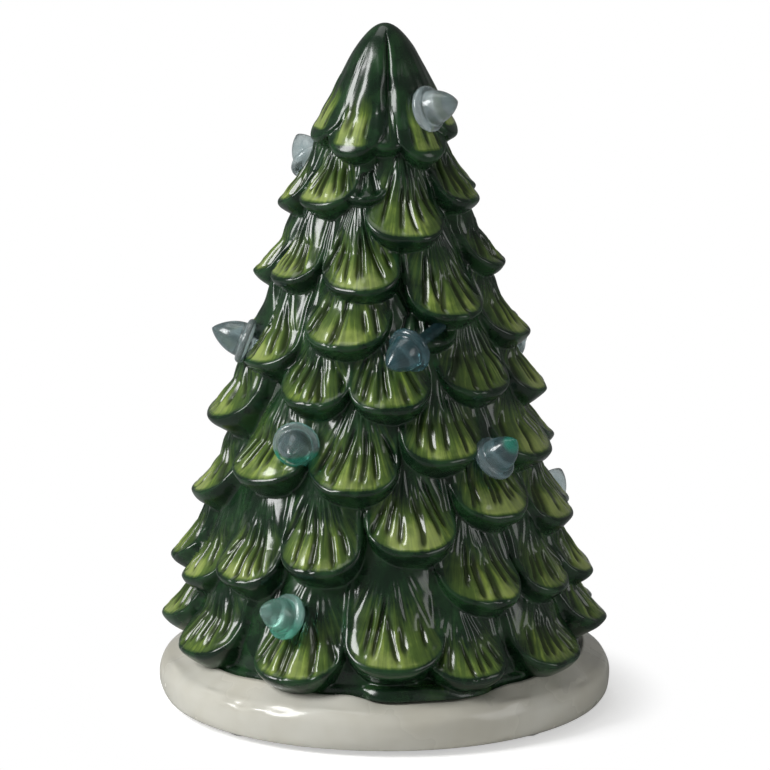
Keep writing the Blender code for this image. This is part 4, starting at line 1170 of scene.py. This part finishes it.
    def store(self, mesh: bpy.types.Mesh, grid: Dict[str, np.ndarray], rows: int) -> None:
        """Store the glaze's values on the mesh.

        Args:
            mesh: The tree's mesh.
            grid: The values on the outer grid.
            rows: How many rings the mesh has.
        """
        before = np.zeros((1, self.columns))
        after = np.zeros((rows - 1 - self.rows, self.columns))
        for key, rest in (("tip", 0.0), ("groove", 0.0), ("valley", 1.0)):
            store_values(mesh, key, np.concatenate([before, grid[key], after + rest], axis=0))
        fan = np.stack([grid["fan_turn"], grid["fan_reach"], grid["number"] * self.streak_offset], axis=-1)
        fan = np.concatenate([fan[:1], fan, np.repeat(fan[-1:], len(after), axis=0)], axis=0)
        layer = mesh.attributes.new("fan", "FLOAT_VECTOR", "POINT")
        layer.data.foreach_set("vector", fan.reshape(-1).astype(np.float32))


@dataclass
class SnowBase:
    """The snow base: a thick ring with a soft edge and low drifts round the tree's foot."""

    radius: float = BASE_HIGH.x
    foot_radius: float = 57.2 * MM
    inner_radius: float = 44.0 * MM
    bottom: float = BASE_LOW.z
    top: float = BASE_HIGH.z
    rebate_radius: float = 42.65 * MM
    bore_radius: float = 37.25 * MM
    ledge_bottom: float = 7.0 * MM
    ledge_top: float = 10.2 * MM
    lip: float = 0.3 * MM
    ease: float = 0.1 * MM
    bulge: float = 5.2 * MM
    shoulder_steps: int = 24
    shoulder_powers: Tuple[float, float] = (0.85, 0.75)
    foot_steps: int = 12
    columns: int = 720

    # The snow banked up against the tree's foot, from one side of the lip to the other
    bank_radius: float = 51.2 * MM
    bank_width: float = 5.5 * MM
    bank_height: float = 4.2 * MM
    bank_power: float = 1.6
    bank_gap: Tuple[float, float] = (14.0, 26.0)
    bank_waves: Tuple[Tuple[float, float, float], ...] = ((7.0, 0.28, 0.6), (12.0, 0.22, 2.0))
    bank_least: float = 0.45

    # The waves all round: how many, their height in mm, their start, and how the start turns with the facing
    waves: Tuple[Tuple[int, float, float, float], ...] = (
        (3, 0.16, 0.7, 0.0), (5, 0.13, 2.1, 2.0), (9, 0.10, 1.3, -3.0), (17, 0.05, 0.0, 4.0))
    wave_level: float = 0.25

    # Single ripples: bearing and facing in degrees, height in mm, then how wide and how tall in degrees
    ripples: Tuple[Tuple[float, float, float, float, float], ...] = (
        (-51, 40, 0.45, 3.0, 9), (-44, 22, 0.40, 2.6, 8), (-39, 30, -0.40, 2.4, 10), (-34, 24, 0.40, 2.4, 8),
        (-27, 34, -0.50, 4.0, 14), (-15, 46, 0.35, 5.0, 10), (8, 30, -0.30, 6.0, 14), (36, 44, 0.40, 4.0, 10),
        (62, 38, -0.6, 5.0, 12), (-75, 50, 0.6, 6.0, 12), (120, 35, -0.7, 6.0, 12), (-140, 40, 0.7, 5.0, 12),
        (170, 30, -0.6, 5.0, 10))

    def build(self) -> None:
        """Build the base and dress it."""
        angle = math.tau * np.arange(self.columns) / self.columns
        rings = []
        for radius, height, turn, softness in self.profile():
            swell = self.swell(angle, turn) * softness
            out = np.minimum(radius + swell * math.cos(turn), self.radius)
            up = height + swell * math.sin(turn)
            if radius > self.bank_radius:
                fade = max(0.0, 1.0 - (radius - self.bank_radius) / self.bank_width) ** self.bank_power
                up = up + self.bank(angle) * fade
            rings.append(ring(out, angle, up))
        mesh = grid_mesh("snow_glazed", np.array(rings), True)
        add_piece(mesh, SnowGlaze().material(), "snow_base")

    def profile(self) -> List[Tuple[float, float, float, float]]:
        """Work out the ring's outline.

        Returns:
            Points of radius and height, with the angle that the surface faces and how much it may swell.
        """
        up = math.pi / 2
        points = [(self.inner_radius + self.lip, self.top, up, 0.0), (self.bank_radius, self.top, up, 0.0)]
        shoulder = self.bank_radius + self.ease
        middle = self.bottom + self.bulge
        out_power, up_power = self.shoulder_powers
        for k in range(1, self.shoulder_steps + 1):
            turn = up * (1.0 - k / self.shoulder_steps)
            radius = shoulder + (self.radius - shoulder) * math.cos(turn) ** out_power
            points.append((radius, middle + (self.top - middle) * math.sin(turn) ** up_power, turn, 1.0))
        for k in range(1, self.foot_steps + 1):
            turn = -up * k / self.foot_steps
            radius = self.foot_radius + (self.radius - self.foot_radius) * math.cos(turn)
            points.append((radius, middle + (middle - self.bottom) * math.sin(turn), turn, math.cos(turn)))
        rebate = [(self.rebate_radius, self.bottom), (self.rebate_radius, self.ledge_bottom),
                  (self.bore_radius, self.ledge_bottom)]
        ledge = [(self.bore_radius, self.ledge_top), (self.inner_radius, self.ledge_top)]
        points += [(radius, height, -up, 0.0) for radius, height in rebate]
        points += [(radius, height, up, 0.0) for radius, height in ledge]
        return points

    def bank(self, angle: np.ndarray) -> np.ndarray:
        """Work out how high the snow is banked against the tree's foot.

        Args:
            angle: Angles round the base, in radians.

        Returns:
            The height at each angle, which is 0 under the front lip.
        """
        low, high = (math.radians(gap) for gap in self.bank_gap)
        open_front = smooth_step(np.abs(turn_from(angle, LIP_BEARING)), low, high)
        waves = 0.5 + sum(height * np.sin(count * angle + start) for count, height, start in self.bank_waves)
        return self.bank_height * open_front * (self.bank_least + (1.0 - self.bank_least) * waves)

    def swell(self, angle: np.ndarray, turn: float) -> np.ndarray:
        """Work out how far the snow's surface swells out from its plain outline.

        Args:
            angle: Angles round the base, in radians.
            turn: The angle that the surface faces there.

        Returns:
            The swell at each angle, in metres.
        """
        total = np.zeros_like(angle)
        for count, height, start, drift in self.waves:
            total += height * np.sin(count * angle + start + drift * turn)
        total = (total - self.wave_level) * MM
        for bearing, facing, height, wide, tall in self.ripples:
            along = turn_from(angle, bearing) / math.radians(wide)
            over = (turn - math.radians(facing)) / math.radians(tall)
            total = total + height * MM * np.exp(-along**2 - over**2)
        return total


@dataclass
class BulbSet:
    """The plastic bulbs: collar, flame-shaped cone and peg."""

    collar_radius: float = 6.0 * MM
    collar_thickness: float = 2.4 * MM
    cone_radius: float = 4.5 * MM
    cone_length: float = 8.2 * MM
    cone_nose: float = 0.10
    cone_powers: Tuple[float, float] = (0.92, 1.15)
    cone_steps: int = 14
    edge_steps: int = 8
    peg_radius: float = 1.6 * MM
    peg_length: float = 13.0 * MM
    peg_round: Tuple[float, float] = (0.5 * MM, 0.6 * MM)
    steps: int = 48

    def profile(self) -> List[Tuple[float, float]]:
        """Work out a bulb's outline, from its tip to its peg's end.

        Returns:
            Points of radius and distance along the axis, with the collar's rear face at 0.
        """
        points = [(0.0, self.collar_thickness + self.cone_length)]
        belly, taper = self.cone_powers
        for k in range(1, self.cone_steps + 1):
            share = k / self.cone_steps
            flame = math.sin(math.pi / 2 * share) ** belly
            radius = self.cone_radius * (self.cone_nose * share**0.5 + (1.0 - self.cone_nose) * flame)
            points.append((radius, self.collar_thickness + self.cone_length * (1.0 - share**taper)))
        edge = 0.5 * self.collar_thickness
        for k in range(self.edge_steps + 1):
            turn = math.pi / 2 - math.pi * k / self.edge_steps
            points.append((self.collar_radius - edge + edge * math.cos(turn), edge + edge * math.sin(turn)))
        inwards, back = self.peg_round
        end = -self.peg_length
        points += [(self.peg_radius, 0.0), (self.peg_radius, end + back)]
        points += [(self.peg_radius - inwards, end), (0.0, end)]
        return points

    def seat(self, node: str, axis: Vector) -> Vector:
        """Find the middle of a CAD bulb's collar, on its rear face.

        Args:
            node: The CAD node.
            axis: The way that the bulb points.

        Returns:
            The point, in metres.
        """
        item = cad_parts[node]
        places = np.array([item.matrix_world @ vertex.co for vertex in item.data.vertices])
        tip = places[np.argmax(places @ np.array(axis))]
        return Vector(tip) - axis * (self.collar_thickness + self.cone_length)

    def build(self) -> None:
        """Build every bulb and dress it."""
        profile = self.profile()
        turns = math.tau * np.arange(self.steps) / self.steps
        rings = np.array([np.stack([r * np.cos(turns), r * np.sin(turns), np.full_like(turns, z)], axis=-1)
                          for r, z in profile])
        plastic = BulbPlastic().material()
        for number, way in enumerate(BULB_AXES, start=1):
            axis = Vector(way).normalized()
            node = f"bulb_{number:02d}"
            turn = axis.to_track_quat("Z", "Y").to_matrix().to_4x4()
            place = np.array(Matrix.Translation(self.seat(node, axis)) @ turn)
            points = rings @ place[:3, :3].T + place[:3, 3]
            mesh = grid_mesh(f"{node}_moulded", points, False)
            places = np.array([vertex.co for vertex in mesh.vertices]) - place[:3, 3]
            for name, values in zip(("painted_green_light", "painted_shade"), self.tones(number, places, np.array(axis))):
                store_values(mesh, name, values)
            add_piece(mesh, plastic, node)

    def tones(self, number: int, places: np.ndarray, axis: np.ndarray) -> Tuple[np.ndarray, np.ndarray]:
        """Work out how much painted green light and painted shade a bulb shows at each of its points.

        Args:
            number: The bulb's number.
            places: Its points, from the middle of its collar's rear face.
            axis: The way that the bulb points.

        Returns:
            The painted green light and painted shade values, from 0 to 1.
        """
        along = (places @ axis - self.collar_thickness) / self.cone_length
        low = -places[:, 2] / self.collar_radius
        on_cone = smooth_step(along, -0.05, 0.10)
        nothing = np.zeros(len(places))
        # Painted green light from behind: low in bulb 7, at the tip of bulb 8 and all over bulb 10
        green = {
            7: smooth_step(low, 0.10, 0.42),
            8: 0.9 * smooth_step(along, 0.55, 0.85),
            10: 0.40 + 0.30 * smooth_step(low, -0.3, 0.6),
        }
        # Painted shade on bulbs 4, 5, 7 and 8, darker blue-grey on the cone or all over
        shaded = {4: 0.45 * on_cone, 5: nothing + 1.0, 7: 0.55 * on_cone, 8: 0.4 * on_cone + 0.45}
        return green.get(number, nothing), shaded.get(number, nothing)


class Metal(Enum):
    """The CAD nodes that are plated steel, by a part of their names."""

    SCREW = "screw"
    SPRING = "contact_spring"
    PLATE = "contact_plate"
    SWITCH = "switch_body"


@dataclass
class LightModule:
    """The battery housing and what it holds, and the foot pads, kept as the CAD has them and dressed here."""

    white: MouldedPlastic = MouldedPlastic("white_moulding", (0.660, 0.660, 0.640), (0.560, 0.555, 0.530))
    black: MouldedPlastic = MouldedPlastic("black_moulding", (0.020, 0.020, 0.022), (0.045, 0.045, 0.045),
                                           0.38)
    black_sheath: WireSheath = WireSheath("black_sheath", (0.012, 0.012, 0.013), (0.030, 0.030, 0.030))
    red_sheath: WireSheath = WireSheath("red_sheath", (0.380, 0.015, 0.012), (0.250, 0.020, 0.018))

    def build(self) -> None:
        """Give every CAD node that shows as it is its finish."""
        white = self.white.material()
        steel = DrawnSteel().material()
        rubber = SoftSilicone().material()
        resin = LampResin().material()
        finishes = {
            "battery_housing": white,
            "housing_cover": white,
            "battery_door": white,
            "switch_knob": self.black.material(),
            "foot_pad": rubber,
            "housing_seal": rubber,
            "aaa_cell": CellSleeve().material(),
            "led_board": BoardLaminate().material(),
            "led_": resin,
            "light_dome": resin,
            "wire_black": self.black_sheath.material(),
            "wire_red": self.red_sheath.material(),
        }
        for name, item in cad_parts.items():
            if any(kind.value in name for kind in Metal):
                self.paint(item, steel)
                continue
            for start, material in finishes.items():
                if name.startswith(start):
                    self.paint(item, material)
                    break

    @staticmethod
    def paint(item: bpy.types.Object, material: bpy.types.Material) -> None:
        """Put a material on every slot of a CAD object.

        Args:
            item: The object, which shows as the CAD has it.
            material: Its finish.
        """
        for slot in item.material_slots:
            slot.material = material
        LOG.info("dressed %s", item.name)


@dataclass(frozen=True)
class SoftBox:
    """A rectangular lamp that faces the lantern: its place, its width and height, and its power in watts."""

    name: str
    place: Point
    size: Tuple[float, float]
    power: float
    aim: Point = (0.0, 0.0, 80.0 * MM)

    def build(self) -> None:
        """Hang the lamp."""
        light = bpy.data.lights.new(self.name, "AREA")
        light.shape = "RECTANGLE"
        light.size, light.size_y = self.size
        light.energy = self.power
        item = add_object(self.name, light)
        item.location = self.place
        item.rotation_euler = (Vector(self.aim) - item.location).to_track_quat("-Z", "Y").to_euler()


@dataclass
class Studio:
    """The pale floor, the soft lights and the camera."""

    # The camera: its distance, its elevation in degrees, the height it aims at and the photograph's scale
    distance: float = 1.1
    elevation: float = 12.3
    target: float = 83.2 * MM
    pixels_per_metre: float = 3841.0
    frame_pixels: int = 770
    sensor: float = 36.0

    # The floor, which is white to the camera beyond the reach of the shade, and the light all round
    floor_half: float = 3.0
    paper: Colour = (0.86, 0.86, 0.86)
    mirrored_paper: Colour = (0.40, 0.41, 0.41)
    floor_glow: float = 0.48
    shade_reach: Tuple[float, float] = (0.058, 0.077)
    world_glow: float = 0.16
    lamps: Tuple[SoftBox, ...] = (
        SoftBox("window_left", (-0.94, -0.40, 0.78), (0.46, 0.60), 13.0),
        SoftBox("panel_top", (-0.20, 0.16, 1.10), (0.60, 0.60), 1.8),
        SoftBox("fill_right", (1.00, -0.60, 0.45), (0.40, 0.70), 2.1),
    )

    def build(self) -> None:
        """Build the floor, the world, the lamps and the camera."""
        self.floor()
        self.world()
        for lamp in self.lamps:
            lamp.build()
        self.camera()

    def floor(self) -> None:
        """Build the floor, white to the camera away from the lantern."""
        half = self.floor_half
        mesh = bpy.data.meshes.new("floor")
        mesh.from_pydata([(-half, -half, 0.0), (half, -half, 0.0), (half, half, 0.0), (-half, half, 0.0)], [],
                         [(0, 1, 2, 3)])
        r = Recipe("pale_floor")
        away = r.node("ShaderNodeVectorMath", {"operation": "LENGTH"}, {0: r.place()}, "Value")
        mirrored = r.node("ShaderNodeLightPath", output="Is Glossy Ray")
        shade = r.blend(mirrored, self.paper, self.mirrored_paper)
        paper = r.node("ShaderNodeBsdfDiffuse", values={"Color": shade})
        glow = r.node("ShaderNodeEmission", values={"Color": WHITE, "Strength": self.floor_glow})
        white = r.node("ShaderNodeEmission", values={"Color": WHITE, "Strength": 1.0})
        lit = r.node("ShaderNodeAddShader", values={0: paper, 1: glow})
        shown = r.node("ShaderNodeMixShader", values={0: away.step(*self.shade_reach), 1: lit, 2: white})
        mixed = r.node("ShaderNodeMixShader", values={0: self.seen(r), 1: paper, 2: shown})
        mesh.materials.append(r.close(mixed))
        add_object("floor", mesh)

    def world(self) -> None:
        """Build the world: white to the camera, soft grey as light."""
        r = Recipe("studio", is_world=True)
        strength = r.node("ShaderNodeMapRange", values={"Value": self.seen(r), "To Min": self.world_glow})
        background = r.node("ShaderNodeBackground", values={"Color": WHITE, "Strength": strength})
        bpy.context.scene.world = r.close(background)

    @staticmethod
    def seen(r: Recipe) -> Signal:
        """Return 1 for a ray that the camera sees, straight or through a bulb, and 0 for others."""
        through = r.node("ShaderNodeLightPath", output="Is Transmission Ray")
        return through.above(r.node("ShaderNodeLightPath", output="Is Camera Ray"))

    def camera(self) -> None:
        """Set the camera at the photograph's angle."""
        tilt = math.radians(self.elevation)
        forward = Vector((0.0, math.cos(tilt), -math.sin(tilt)))
        data = bpy.data.cameras.new("camera")
        data.sensor_width = self.sensor
        data.lens = self.pixels_per_metre * self.distance / self.frame_pixels * self.sensor
        item = add_object("camera", data)
        item.location = Vector((0.0, 0.0, self.target)) - forward * self.distance
        item.rotation_euler = forward.to_track_quat("-Z", "Y").to_euler()
        bpy.context.scene.camera = item


def main() -> None:
    """Build the lantern's look and the studio."""
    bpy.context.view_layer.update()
    bpy.context.scene.view_settings.view_transform = "Standard"
    for assembly in (Studio(), TreeCasting(), SnowBase(), BulbSet(), LightModule()):
        assembly.build()
        LOG.info("finished %s", type(assembly).__name__)


if __name__ == "__main__":
    main()
